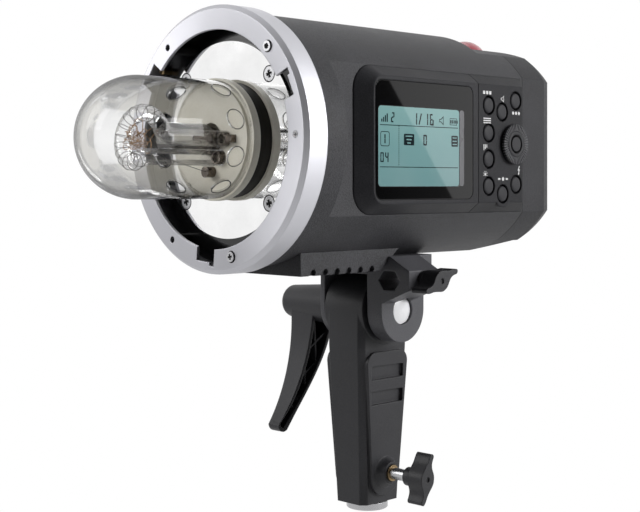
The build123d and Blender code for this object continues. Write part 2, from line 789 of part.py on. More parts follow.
def body_form(inset, start, end):
    """Form of the housing from one depth to another, drawn in by an inset."""
    with BuildPart() as form:
        with BuildSketch(front_plane(start)):
            Circle(BODY_R - inset)
        extrude(amount=start - end)
        with BuildSketch(front_plane(FLAT_START - inset)):
            with Locations((FLAT_X - inset + BODY_R, 0), (inset - BATTERY_FLAT_X - BODY_R, 0)):
                Rectangle(2 * BODY_R, CLEAR_OF_BODY)
            with Locations((0, BOTTOM_H + inset - BODY_R)):
                Rectangle(CLEAR_OF_BODY, 2 * BODY_R)
        extrude(amount=FLAT_START - inset - end, mode=Mode.SUBTRACT)
        with BuildSketch(side_plane(-BODY_R)):
            with BuildLine():
                Polyline(
                    (TAIL_START, BOTTOM_H + inset),
                    (TAIL_END, TAIL_H + inset),
                    (CAP_END + BODY_R, TAIL_H + inset),
                    (CAP_END + BODY_R, BOTTOM_H - BODY_R),
                    (TAIL_START, BOTTOM_H - BODY_R),
                    close=True,
                )
            make_face()
        extrude(amount=2 * BODY_R, mode=Mode.SUBTRACT)
        with BuildSketch(front_plane(SHELF_START - inset)):
            with Locations((0, BODY_R)):
                Rectangle(CLEAR_OF_BODY, 2 * BODY_R)
            with Locations((0, SHELF_CROWN_H - SHELF_R)):
                Circle(SHELF_R - inset, mode=Mode.SUBTRACT)
        extrude(amount=SHELF_START - inset - end, mode=Mode.SUBTRACT)
    return form.part


shell_outside = body_form(0, RING_DEPTH, SHELL_END)
shell_inside = body_form(WALL, RING_DEPTH - 1, SHELL_END + 1)

with BuildPart() as main_shell:
    add(shell_outside)
    add(shell_inside, mode=Mode.SUBTRACT)
    # Battery bay, open on the battery side
    with BuildSketch(side_plane(-BATTERY_FLAT_X)):
        with Locations(((BAY_START + BAY_END) / 2, 0)):
            Rectangle(BAY_END - BAY_START + 2 * BAY_WALL, 2 * (BAY_H + BAY_WALL))
    extrude(amount=BATTERY_FLAT_X + BAY_FLOOR_X + BAY_WALL)
    with BuildSketch(side_plane(BAY_FLOOR_X)):
        with Locations(((BAY_START + BAY_END) / 2, 0)):
            Rectangle(BAY_END - BAY_START, 2 * BAY_H)
    extrude(amount=-BODY_R, mode=Mode.SUBTRACT)
    with BuildSketch(side_plane(BAY_FLOOR_X)):
        for depth in CONTACT_DEPTHS:
            with Locations((depth, 0)):
                Circle(CONTACT_R + SHAFT_PLAY)
    extrude(amount=BAY_WALL, mode=Mode.SUBTRACT)
    # Bosses for the rear cap's screws, each on a rib from the wall
    with BuildSketch(front_plane(SHELL_END)):
        with GridLocations(2 * BOSS_X, 2 * BOSS_H, 2, 2):
            Circle(BOSS_R)
        for side in (-1, 1):
            rib_outer = FLAT_X - WALL / 2 if side > 0 else BATTERY_FLAT_X - WALL / 2
            with Locations(
                (side * (BOSS_X + rib_outer) / 2, BOSS_H), (side * (BOSS_X + rib_outer) / 2, -BOSS_H)
            ):
                Rectangle(rib_outer - BOSS_X, WALL)
    extrude(amount=BOSS_LENGTH)
    with BuildSketch(front_plane(SHELL_END)):
        with GridLocations(2 * BOSS_X, 2 * BOSS_H, 2, 2):
            Circle(HOUSING_SCREW_R + SHAFT_PLAY)
    extrude(amount=BOSS_LENGTH - WALL, mode=Mode.SUBTRACT)
    # Opening behind the console
    with BuildSketch(side_plane(FLAT_X)):
        with Locations(((BOARD_START + BOARD_END) / 2, 0)):
            Rectangle(BOARD_END - BOARD_START + 2 * FIT, 2 * (BOARD_H + FIT))
    extrude(amount=-2 * WALL, mode=Mode.SUBTRACT)
    # Slot of the release slider
    with BuildSketch(front_plane(RING_DEPTH)):
        with Locations(polar(PIN_AT_R, PIN_ANGLE)):
            Circle(PIN_R + GAP)
    extrude(amount=RING_DEPTH - PIN_BACK, mode=Mode.SUBTRACT)
    with BuildSketch(radial_plane(PIN_ANGLE, PIN_AT_R - 2 * WALL)):
        slot_length = SLIDER_LENGTH + PIN_TRAVEL + 2 * GAP
        with Locations((PIN_BACK - GAP + slot_length / 2, 0)):
            Rectangle(slot_length, SLIDER_WIDTH + 2 * GAP)
    extrude(amount=BODY_R, mode=Mode.SUBTRACT)
    # Seat and holes for the fork's screws
    with BuildSketch(top_plane(BOTTOM_H)):
        with Locations((0, RING_FRONT)):
            with GridLocations(2 * BRACKET_SCREW_X, BRACKET_SCREW_SPACING, 2, 2):
                Circle(BOSS_R)
    extrude(amount=BRACKET_SCREW_LENGTH)
    with BuildSketch(top_plane(BOTTOM_H)):
        with Locations((0, RING_FRONT)):
            with GridLocations(2 * BRACKET_SCREW_X, BRACKET_SCREW_SPACING, 2, 2):
                Circle(BRACKET_SHANK_R + SHAFT_PLAY)
    extrude(amount=BRACKET_SCREW_LENGTH, mode=Mode.SUBTRACT)
    # Air intakes inside the skirt
    with BuildSketch(top_plane(BOTTOM_H)):
        with Locations((0, (SKIRT_START + SKIRT_END) / 2)):
            with GridLocations(0, GRILLE_PITCH, 1, GRILLE_SLOTS):
                Rectangle(SKIRT_HALF, GRILLE_SLOT)
    extrude(amount=2 * WALL, mode=Mode.SUBTRACT)

cap_inside = body_form(WALL, SHELL_END - 1, CAP_END - WALL)

with BuildPart() as rear_cap:
    add(body_form(0, SHELL_END, CAP_END))
    rear_face = rear_cap.faces().sort_by(Axis.Y)[-1]
    chamfer(rear_face.edges(), length=CAP_BEVEL_SIDE, length2=CAP_BEVEL_DEPTH, reference=rear_face)
    add(cap_inside, mode=Mode.SUBTRACT)
    # Screw bosses
    with BuildSketch(front_plane(SHELL_END)):
        with GridLocations(2 * BOSS_X, 2 * BOSS_H, 2, 2):
            Circle(BOSS_R)
    extrude(amount=SHELL_END - CAP_END + WALL)
    with BuildSketch(front_plane(SHELL_END)):
        with GridLocations(2 * BOSS_X, 2 * BOSS_H, 2, 2):
            Circle(HOUSING_SCREW_R + FIT)
    extrude(amount=SHELL_END - CAP_END, mode=Mode.SUBTRACT)
    with BuildSketch(front_plane(CAP_END)):
        with GridLocations(2 * BOSS_X, 2 * BOSS_H, 2, 2):
            Circle(HOUSING_HEAD_R + FIT)
    extrude(amount=HOUSING_HEAD_H + FIT, mode=Mode.SUBTRACT)
    # Seat of the sensor window
    with BuildSketch(top_plane(DOME_LENS_SEAT_H - LENS_BOSS_H)):
        with Locations((0, DOME_LENS_DEPTH)):
            Circle(LENS_BOSS_R)
    extrude(amount=LENS_BOSS_H + WALL / 2)
    with BuildSketch(top_plane(DOME_LENS_SEAT_H)):
        with Locations((0, DOME_LENS_DEPTH)):
            Circle(DOME_LENS_R + FIT)
    extrude(amount=BODY_R, mode=Mode.SUBTRACT)
    # Fan grille
    with BuildSketch(front_plane(CAP_END)):
        with Locations((FAN_X, 0)):
            with GridLocations(GRILLE_PITCH, 0, GRILLE_SLOTS, 1):
                Rectangle(GRILLE_SLOT, GRILLE_LENGTH)
    extrude(amount=WALL, mode=Mode.SUBTRACT)
    # Recess of the socket plate, and the rocker's pocket with its pin holes
    with BuildSketch(front_plane(CAP_END - POCKET_DEPTH - POCKET_WALL)):
        with Locations((PANEL_X, SWITCH_H)):
            Rectangle(
                ROCKER_WIDTH + 2 * POCKET_WALL + 2 * GAP,
                ROCKER_HEIGHT + 2 * POCKET_MARGIN + 2 * POCKET_WALL,
            )
    extrude(amount=-POCKET_DEPTH)
    with BuildSketch(front_plane(CAP_END)):
        with Locations((PANEL_X, (PANEL_TOP_H + PANEL_BOTTOM_H) / 2)):
            Rectangle(PANEL_WIDTH, PANEL_TOP_H - PANEL_BOTTOM_H)
    extrude(amount=PANEL_THICK, mode=Mode.SUBTRACT)
    with BuildSketch(front_plane(CAP_END)):
        with Locations((PANEL_X, SWITCH_H)):
            Rectangle(ROCKER_WIDTH + 2 * GAP, ROCKER_HEIGHT + 2 * POCKET_MARGIN)
        with Locations((PANEL_X, PORT_H)):
            Rectangle(PORT_WIDTH, PORT_HEIGHT)
    extrude(amount=POCKET_DEPTH, mode=Mode.SUBTRACT)
    with BuildSketch(side_plane(PANEL_X - ROCKER_WIDTH / 2 - ROCKER_PIN_IN - GAP)):
        with Locations((ROCKER_AXIS_DEPTH, SWITCH_H)):
            Circle(ROCKER_PIN_R + SHAFT_PLAY)
    extrude(amount=ROCKER_WIDTH + 2 * ROCKER_PIN_IN + 2 * GAP, mode=Mode.SUBTRACT)

housing_screw_solids = [
    driven_screw(
        front_plane(CAP_END - HOUSING_SINK).location * Location((across, up, 0), (0, 180, 0)),
        HOUSING_HEAD_R,
        HOUSING_HEAD_H - HOUSING_SINK,
        HOUSING_SCREW_R,
        CAP_END - SHELL_END + BOSS_LENGTH / 2,
    )
    for across in (-BOSS_X, BOSS_X)
    for up in (-BOSS_H, BOSS_H)
]
with BuildPart() as housing_screws:
    add(housing_screw_solids)

lens_rise = DOME_LENS_TOP_H - SHELF_CROWN_H
lens_y = DOME_LENS_DEPTH - RING_FRONT
with BuildPart() as sensor_window:
    with BuildSketch(Plane(origin=(0, lens_y, HEAD_Z), x_dir=(1, 0, 0), z_dir=(0, -1, 0))):
        with BuildLine():
            lens_edge = (DOME_LENS_R, SHELF_CROWN_H - lens_rise / 4)
            lens_crown = (0, DOME_LENS_TOP_H)
            Polyline(lens_crown, (0, DOME_LENS_SEAT_H), (DOME_LENS_R, DOME_LENS_SEAT_H), lens_edge)
            TangentArc(lens_crown, lens_edge, tangent=(1, 0))
        make_face()
    revolve(axis=Axis((0, lens_y, HEAD_Z), (0, 0, 1)))

# ---- Console ----


def console_sheet(x, start, end, half, corner):
    """Outline of the console at one distance from the axis, with round front corners."""
    with BuildSketch(side_plane(x)) as sheet:
        with Locations(((start + end) / 2, 0)):
            Rectangle(end - start, 2 * half)
        fillet(sheet.vertices().sort_by(Axis.X)[:2], corner)
    return sheet.sketch


with BuildPart() as console_block:
    add(console_sheet(FLAT_X, CONSOLE_BASE_START, CONSOLE_BASE_END, CONSOLE_BASE_H, CONSOLE_BASE_CORNER))
    add(console_sheet(CONSOLE_X, CONSOLE_FACE_START, CONSOLE_FACE_END, CONSOLE_FACE_H, CONSOLE_FACE_CORNER))
    loft()
collared_depth, collared_h = KEYS[COLLARED_KEY]
key_hole_r = KEY_R + GAP
key_pocket_r = KEY_R + KEY_FLANGE + GAP
KEY_FLANGE_X = CONSOLE_X - CONSOLE_SKIN - GAP - FIT

with BuildPart() as console_frame:
    add(console_block.part)
    with BuildSketch(side_plane(FLAT_X)):
        with Locations((CONSOLE_SPLIT + BODY_R, 0)):
            Rectangle(2 * BODY_R, CLEAR_OF_BODY)
    extrude(amount=2 * CONSOLE_RISE, mode=Mode.SUBTRACT)
    with BuildSketch(side_plane(CONSOLE_X)):
        with Locations(((GLASS_START + GLASS_END) / 2, 0)):
            RectangleRounded(GLASS_END - GLASS_START + 2 * FIT, 2 * (GLASS_H + FIT), GLASS_CORNER)
    extrude(amount=-GLASS_THICK, mode=Mode.SUBTRACT)
    with BuildSketch(side_plane(FLAT_X)):
        with Locations(((LCD_START + LCD_END) / 2, (LCD_TOP_H + LCD_BOTTOM_H) / 2)):
            Rectangle(LCD_END - LCD_START + 2 * FIT, LCD_TOP_H - LCD_BOTTOM_H + 2 * FIT)
    extrude(amount=CONSOLE_RISE, mode=Mode.SUBTRACT)

with BuildPart() as screen_glass:
    with BuildSketch(side_plane(CONSOLE_X)):
        with Locations(((GLASS_START + GLASS_END) / 2, 0)):
            RectangleRounded(GLASS_END - GLASS_START, 2 * GLASS_H, GLASS_CORNER)
        with Locations(((LCD_START + LCD_END) / 2, (LCD_TOP_H + LCD_BOTTOM_H) / 2)):
            Rectangle(
                LCD_END - LCD_START + 2 * FIT, LCD_TOP_H - LCD_BOTTOM_H + 2 * FIT, mode=Mode.SUBTRACT
            )
    extrude(amount=-GLASS_THICK)

with BuildPart() as lcd_panel:
    with BuildSketch(side_plane(FLAT_X)):
        with Locations(((LCD_START + LCD_END) / 2, (LCD_TOP_H + LCD_BOTTOM_H) / 2)):
            Rectangle(LCD_END - LCD_START, LCD_TOP_H - LCD_BOTTOM_H)
    extrude(amount=CONSOLE_RISE - LCD_DROP)

with BuildPart() as keypad_plate:
    add(console_block.part)
    with BuildSketch(side_plane(FLAT_X)):
        with Locations((CONSOLE_SPLIT + SEAM - BODY_R, 0)):
            Rectangle(2 * BODY_R, CLEAR_OF_BODY)
    extrude(amount=2 * CONSOLE_RISE, mode=Mode.SUBTRACT)
    with BuildSketch(side_plane(FLAT_X)):
        with Locations((collared_depth, collared_h)):
            Circle(key_hole_r + COLLAR_WALL)
    extrude(amount=CONSOLE_RISE)
    with BuildSketch(side_plane(FLAT_X)):
        for place in KEYS.values():
            with Locations(place):
                Circle(key_pocket_r)
    extrude(amount=CONSOLE_RISE - CONSOLE_SKIN, mode=Mode.SUBTRACT)
    with BuildSketch(side_plane(FLAT_X)):
        for place in KEYS.values():
            with Locations(place):
                Circle(key_hole_r)
        with Locations((DIAL_DEPTH, 0)):
            Circle(DIAL_HUB_R + GAP)
    extrude(amount=CONSOLE_RISE, mode=Mode.SUBTRACT)

keys = {}
for key_name, place in KEYS.items():
    with BuildPart() as key:
        with BuildSketch(side_plane(CONSOLE_X)):
            with Locations(place):
                Circle(KEY_R)
        extrude(amount=KEY_FLANGE_X - CONSOLE_X)
        fillet(key.faces().sort_by(Axis.X)[-1].edges(), KEY_R / 12)
        with BuildSketch(side_plane(KEY_FLANGE_X)):
            with Locations(place):
                Circle(KEY_R + KEY_FLANGE)
        extrude(amount=-KEY_FLANGE_THICK)
    keys[key_name] = key.part

DIAL_BACK_X = CONSOLE_X + GAP
with BuildPart() as dial:
    with BuildSketch(side_plane(DIAL_BACK_X)):
        with Locations((DIAL_DEPTH, 0)):
            Circle(DIAL_R)
    extrude(amount=DIAL_THICK)
    chamfer(dial.faces().sort_by(Axis.X)[-1].edges(), DIAL_THICK / 4)
    rib_pitch = 2 * math.pi * DIAL_R / DIAL_RIBS
    with BuildSketch(side_plane(DIAL_BACK_X + DIAL_THICK)):
        with Locations((DIAL_DEPTH, 0)):
            with PolarLocations((DIAL_R + DIAL_FACE_R + DIAL_RIB_PAST) / 2, DIAL_RIBS):
                Rectangle(DIAL_R - DIAL_FACE_R + DIAL_RIB_PAST, rib_pitch / 2)
    extrude(amount=-DIAL_THICK / 2, mode=Mode.SUBTRACT)
    with BuildSketch(side_plane(DIAL_BACK_X)):
        with Locations((DIAL_DEPTH, 0)):
            Circle(DIAL_HUB_R)
    extrude(amount=FLAT_X + ENCODER_HEIGHT + GAP - DIAL_BACK_X)
    with BuildSketch(side_plane(FLAT_X)):
        with Locations((DIAL_DEPTH, 0)):
            Circle(SET_R + GAP)
    extrude(amount=2 * CONSOLE_RISE, mode=Mode.SUBTRACT)

with BuildPart() as set_button:
    with BuildSketch(side_plane(FLAT_X + SWITCH_HEIGHT + KEY_TRAVEL + GAP)):
        with Locations((DIAL_DEPTH, 0)):
            Circle(SET_R)
    extrude(amount=DIAL_BACK_X + DIAL_THICK - FLAT_X - SWITCH_HEIGHT - KEY_TRAVEL - GAP)
    fillet(set_button.faces().sort_by(Axis.X)[-1].edges(), SET_R / 8)

with BuildPart() as control_board:
    with BuildSketch(side_plane(FLAT_X)):
        with Locations(((BOARD_START + BOARD_END) / 2, 0)):
            Rectangle(BOARD_END - BOARD_START, 2 * BOARD_H)
    extrude(amount=-BOARD_THICK)
    with BuildSketch(side_plane(FLAT_X)):
        for place in list(KEYS.values()) + [(DIAL_DEPTH, 0)]:
            with Locations(place):
                Circle(SWITCH_R)
    extrude(amount=SWITCH_HEIGHT)
    with BuildSketch(side_plane(FLAT_X)):
        with Locations((DIAL_DEPTH, 0)):
            Circle(DIAL_HUB_R)
            Circle(SET_R + GAP, mode=Mode.SUBTRACT)
    extrude(amount=ENCODER_HEIGHT)

# ---- Battery ----

pack_start = BAY_START + BAY_CLEARANCE
pack_end = BAY_END - BAY_CLEARANCE
pack_h = BAY_H - BAY_CLEARANCE
PACK_INNER_X = BAY_FLOOR_X - GAP

with BuildPart() as battery_pack:
    with BuildSketch(front_plane(pack_start)):
        with BuildLine():
            Polyline(
                (PACK_INNER_X, -pack_h),
                (PACK_X + PACK_CHAMFER, -pack_h),
                (PACK_X, PACK_CHAMFER - pack_h),
                (PACK_X, pack_h - PACK_CHAMFER),
                (PACK_X + PACK_CHAMFER, pack_h),
                (PACK_INNER_X, pack_h),
                close=True,
            )
        make_face()
    extrude(amount=pack_start - pack_end)
    outer_face = battery_pack.faces().sort_by(Axis.X)[0]
    chamfer(outer_face.edges(), PACK_CHAMFER / 4)
    with BuildSketch(side_plane(PACK_X)):
        with Locations((LATCH_START + (LATCH_LENGTH + LATCH_TRAVEL) / 2 + GAP, 0)):
            Rectangle(LATCH_LENGTH + LATCH_TRAVEL + 2 * GAP, 2 * (LATCH_H + GAP))
    extrude(amount=LATCH_POCKET, mode=Mode.SUBTRACT)
    with BuildSketch(side_plane(PACK_X)):
        with Locations((CHECK_DEPTH, CHECK_H)):
            Circle(CHECK_R + GAP)
    extrude(amount=CHECK_POCKET, mode=Mode.SUBTRACT)
    with BuildSketch(side_plane(PACK_X)):
        for height in LED_HEIGHTS:
            with Locations((CHECK_DEPTH, height)):
                Circle(LED_R + FIT)
    extrude(amount=LED_THICK, mode=Mode.SUBTRACT)
    with BuildSketch(side_plane(PACK_INNER_X)):
        for depth in CONTACT_DEPTHS:
            with Locations((depth, 0)):
                Circle(CONTACT_R + GAP)
    extrude(amount=-CONTACT_POCKET_DEPTH, mode=Mode.SUBTRACT)

with BuildPart() as battery_latch:
    with BuildSketch(side_plane(PACK_X - LATCH_PROUD)):
        with Locations((LATCH_START + GAP + LATCH_LENGTH / 2, 0)):
            Rectangle(LATCH_LENGTH, 2 * LATCH_H)
    extrude(amount=LATCH_POCKET + LATCH_PROUD - GAP)
    with BuildSketch(side_plane(PACK_X - LATCH_PROUD)):
        with Locations((LATCH_START + GAP + LATCH_LENGTH / 2, 0)):
            with GridLocations(LATCH_LENGTH / 5, 0, 4, 1):
                Rectangle(LATCH_LENGTH / 12, 1.5 * LATCH_H)
    extrude(amount=LATCH_POCKET / 4, mode=Mode.SUBTRACT)

with BuildPart() as battery_check_button:
    with BuildSketch(side_plane(PACK_X - LATCH_PROUD)):
        with Locations((CHECK_DEPTH, CHECK_H)):
            Circle(CHECK_R)
    extrude(amount=CHECK_THICK)

with BuildPart() as battery_leds:
    with BuildSketch(side_plane(PACK_X)):
        for height in LED_HEIGHTS:
            with Locations((CHECK_DEPTH, height)):
                Circle(LED_R)
    extrude(amount=LED_THICK)

with BuildPart() as battery_contacts:
    with BuildSketch(side_plane(BAY_FLOOR_X - CONTACT_PROUD)):
        for depth in CONTACT_DEPTHS:
            with Locations((depth, 0)):
                Circle(CONTACT_R)
    extrude(amount=CONTACT_PROUD + BAY_WALL)

# ---- Flash bank, main board and fan ----

BOARD_BACK_X = BAY_FLOOR_X + BAY_WALL + STANDOFF
with BuildPart() as main_board:
    with BuildSketch(side_plane(BOARD_BACK_X)):
        with Locations(((MAIN_BOARD_START + MAIN_BOARD_END) / 2, 0)):
            Rectangle(MAIN_BOARD_END - MAIN_BOARD_START, 2 * MAIN_BOARD_H)
    extrude(amount=BOARD_THICK)
    with BuildSketch(side_plane(BOARD_BACK_X)):
        with Locations(((BAY_START + BAY_END) / 2, 0)):
            with GridLocations((BAY_END - BAY_START) / 2, BAY_H, 2, 2):
                Circle(BOSS_R)
    extrude(amount=-STANDOFF)
    # Charger coil and heat sink behind the capacitors
    with BuildSketch(side_plane(BOARD_BACK_X)):
        with Locations((CAPACITOR_START + CAPACITOR_LENGTH + CAPACITOR_R, CAPACITOR_R)):
            Circle(CAPACITOR_R)
        with Locations((CAPACITOR_START + CAPACITOR_LENGTH + CAPACITOR_R, -CAPACITOR_R)):
            Rectangle(2 * CAPACITOR_R, CAPACITOR_R)
    extrude(amount=2 * CAPACITOR_R)

capacitor_pitch = 2 * CAPACITOR_R + CAPACITOR_SPACE
capacitor_x = BOARD_BACK_X + BOARD_THICK + CAPACITOR_R + FIT
with BuildPart() as capacitors:
    with BuildSketch(front_plane(CAPACITOR_START)):
        for column in range(CAPACITOR_COLUMNS):
            with Locations((capacitor_x + column * capacitor_pitch, 0)):
                with GridLocations(0, capacitor_pitch, 1, CAPACITOR_ROWS):
                    Circle(CAPACITOR_R)
    extrude(amount=-CAPACITOR_LENGTH)

fan_back = CAP_END - WALL
fan_front = fan_back - FAN_THICK
with BuildPart() as fan_frame:
    with BuildSketch(front_plane(fan_front)):
        with Locations((FAN_X, 0)):
            Rectangle(FAN_SIZE, FAN_SIZE)
            Circle(FAN_BORE_R, mode=Mode.SUBTRACT)
    extrude(amount=-FAN_THICK)
    with BuildSketch(front_plane(fan_back - FAN_SPIDER)):
        with Locations((FAN_X, 0)):
            Circle(FAN_HUB_R)
            Rectangle(FAN_SIZE - FAN_SPIDER, 2 * FAN_SPIDER)
            Rectangle(2 * FAN_SPIDER, FAN_SIZE - FAN_SPIDER)
    extrude(amount=-FAN_SPIDER)
    with BuildSketch(front_plane(fan_front + FAN_RING_GAP + FAN_SPIDER)):
        with Locations((FAN_X, 0)):
            Circle(FAN_PIN_R)
    extrude(amount=FAN_RING_GAP + 2 * FAN_SPIDER - FAN_THICK)

rotor_back = fan_back - FAN_SPIDER - FAN_RING_GAP
with BuildPart() as fan_rotor:
    with BuildSketch(front_plane(fan_front + FAN_RING_GAP)):
        with Locations((FAN_X, 0)):
            Circle(FAN_HUB_R)
    extrude(amount=fan_front + FAN_RING_GAP - rotor_back)
    for blade in range(FAN_BLADES):
        turn = blade * 360 / FAN_BLADES
        blade_place = Location((FAN_X, (fan_front + rotor_back) / 2 - RING_FRONT, HEAD_Z)) * Location(
            (0, 0, 0), (0, turn, 0)
        )
        blade_middle = (FAN_HUB_R + FAN_BLADE_R - FAN_BLADE_ROOT) / 2
        with Locations(blade_place * Location((blade_middle, 0, 0), (FAN_BLADE_LEAN, 0, 0))):
            Box(FAN_BLADE_R - FAN_HUB_R + FAN_BLADE_ROOT, FAN_BLADE_THICK, 0.8 * FAN_THICK)
    with BuildSketch(front_plane(fan_front)):
        with Locations((FAN_X, 0)):
            Circle(2 * FAN_BLADE_R)
            Circle(FAN_BLADE_R, mode=Mode.SUBTRACT)
    extrude(amount=-FAN_THICK, mode=Mode.SUBTRACT)
    with BuildSketch(front_plane(fan_front + FAN_RING_GAP + FAN_SPIDER)):
        with Locations((FAN_X, 0)):
            Circle(FAN_PIN_R + SHAFT_PLAY)
    extrude(amount=-FAN_THICK, mode=Mode.SUBTRACT)

# ---- Rear sockets and switch ----

hinge_x = PANEL_X - PORT_WIDTH / 2 - HINGE_R - GAP
hinge_depth = CAP_END + COVER_LIFT + HINGE_R
hinge_low = PORT_H - PORT_HEIGHT / 2
hinge_high = PORT_H + PORT_HEIGHT / 2
with BuildPart() as jack_panel:
    with BuildSketch(front_plane(CAP_END)):
        with Locations((PANEL_X, (PANEL_TOP_H + PANEL_BOTTOM_H) / 2)):
            Rectangle(PANEL_WIDTH - 2 * FIT, PANEL_TOP_H - PANEL_BOTTOM_H - 2 * FIT)
        with Locations((PANEL_X, SWITCH_H)):
            Rectangle(ROCKER_WIDTH + 2 * GAP, ROCKER_HEIGHT + 2 * POCKET_MARGIN, mode=Mode.SUBTRACT)
    extrude(amount=PANEL_THICK)
    # Body of the sockets, with a round jack and a wide connector
    with BuildSketch(front_plane(CAP_END - PANEL_THICK)):
        with Locations((PANEL_X, PORT_H)):
            Rectangle(PORT_WIDTH - 2 * FIT, PORT_HEIGHT - 2 * FIT)
    extrude(amount=POCKET_DEPTH - PANEL_THICK)
    with BuildSketch(front_plane(CAP_END)):
        with Locations((PANEL_X, PORT_H + PORT_HEIGHT / 4)):
            Circle(JACK_R)
        with Locations((PANEL_X, PORT_H - PORT_HEIGHT / 4)):
            Rectangle(USB_WIDTH, USB_HEIGHT)
    extrude(amount=POCKET_DEPTH - PANEL_THICK, mode=Mode.SUBTRACT)
    # Hinge lugs and pin of the cover
    for low in (hinge_low, hinge_high - HINGE_LUG):
        with BuildSketch(top_plane(low)):
            with Locations((hinge_x, hinge_depth)):
                Circle(HINGE_R)
            with Locations((hinge_x, (hinge_depth + CAP_END) / 2)):
                Rectangle(2 * HINGE_R, hinge_depth - CAP_END)
        extrude(amount=HINGE_LUG)
    with BuildSketch(top_plane(hinge_low)):
        with Locations((hinge_x, hinge_depth)):
            Circle(HINGE_PIN_R)
    extrude(amount=hinge_high - hinge_low)

with BuildPart() as port_cover:
    with BuildSketch(top_plane(hinge_low + HINGE_LUG + GAP)):
        with Locations((hinge_x, hinge_depth)):
            Circle(HINGE_R)
        with Locations((hinge_x + PORT_WIDTH / 2 + HINGE_R, hinge_depth + HINGE_R - COVER_THICK / 2)):
            Rectangle(PORT_WIDTH + 2 * HINGE_R, COVER_THICK)
        with Locations((hinge_x, hinge_depth)):
            Circle(HINGE_PIN_R + SHAFT_PLAY, mode=Mode.SUBTRACT)
    extrude(amount=hinge_high - hinge_low - 2 * (HINGE_LUG + GAP))

with BuildPart() as power_switch:
    with BuildSketch(side_plane(PANEL_X - ROCKER_WIDTH / 2)):
        with BuildLine():
            rocker_top = CAP_END + ROCKER_PROUD
            rocker_low = SWITCH_H - ROCKER_HEIGHT / 2
            rocker_high = SWITCH_H + ROCKER_HEIGHT / 2
            Polyline(
                (rocker_top - ROCKER_THICK, rocker_low),
                (rocker_top, rocker_low),
                (rocker_top - ROCKER_PROUD / 2, SWITCH_H),
                (rocker_top, rocker_high),
                (rocker_top - ROCKER_THICK, rocker_high),
                close=True,
            )
        make_face()
    extrude(amount=ROCKER_WIDTH)
    with BuildSketch(side_plane(PANEL_X - ROCKER_WIDTH / 2 - ROCKER_PIN_IN)):
        with Locations((ROCKER_AXIS_DEPTH, SWITCH_H)):
            Circle(ROCKER_PIN_R)
    extrude(amount=ROCKER_WIDTH + 2 * ROCKER_PIN_IN)

# ---- Intake skirt ----

with BuildPart() as vent_skirt:
    with BuildSketch(side_plane(-SKIRT_HALF)):
        with BuildLine():
            Polyline(
                (SKIRT_START, SKIRT_BOTTOM_H),
                (SKIRT_END, SKIRT_BOTTOM_H),
                (SKIRT_TOP_END, SKIRT_TOP_H),
                (SKIRT_START, SKIRT_TOP_H),
                close=True,
            )
        make_face()
    extrude(amount=2 * SKIRT_HALF)
    with BuildSketch(side_plane(SKIRT_WALL - SKIRT_HALF)):
        with BuildLine():
            Polyline(
                (SKIRT_START + SKIRT_WALL, SKIRT_BOTTOM_H + SKIRT_WALL),
                (SKIRT_END - SKIRT_WALL, SKIRT_BOTTOM_H + SKIRT_WALL),
                (SKIRT_END - SKIRT_WALL, SKIRT_TOP_H + SKIRT_WALL),
                (SKIRT_START + SKIRT_WALL, SKIRT_TOP_H + SKIRT_WALL),
                close=True,
            )
        make_face()
    extrude(amount=2 * (SKIRT_HALF - SKIRT_WALL), mode=Mode.SUBTRACT)
    add(shell_outside, mode=Mode.SUBTRACT)
    for side in (-1, 1):
        with BuildSketch(side_plane(side * SKIRT_HALF)):
            for slot in range(SKIRT_SLOTS):
                slot_h = SKIRT_BOTTOM_H + (SKIRT_SLOT_HEIGHT - SKIRT_SLOT_OPEN) / 2
                with Locations((SKIRT_FIRST + slot * SKIRT_PITCH, slot_h)):
                    SlotOverall(
                        SKIRT_SLOT_HEIGHT + SKIRT_SLOT_OPEN,
                        SKIRT_SLOT_WIDTH,
                        rotation=90 - SKIRT_SLOT_LEAN,
                    )
        extrude(amount=-side * SKIRT_WALL, mode=Mode.SUBTRACT)

# ---- Fork, tilt bolt and lever ----


def fork_plane(behind):
    """Plane across the fork at a distance behind the tilt axis: x across, y above the axis."""
    return Plane(origin=(0, behind, TILT_Z), x_dir=(1, 0, 0), z_dir=(0, -1, 0))


TILT_AXIS = Axis((0, 0, TILT_Z), (1, 0, 0))
SKIRT_CUT = [
    (SKIRT_END - RING_FRONT + FIT, SKIRT_BOTTOM_H + TILT_DROP - FIT),
    (SKIRT_TOP_END - RING_FRONT + FIT, SKIRT_TOP_H + TILT_DROP - FIT),
    (SKIRT_START - RING_FRONT, SKIRT_TOP_H + TILT_DROP - FIT),
    (SKIRT_START - RING_FRONT, SKIRT_BOTTOM_H + TILT_DROP - FIT),
]
PLATE_BOTTOM = GRIP_HUB_R + HUB_CLEARANCE
BOLT_SEAT_X = EAR_OUT - EAR_COUNTERBORE

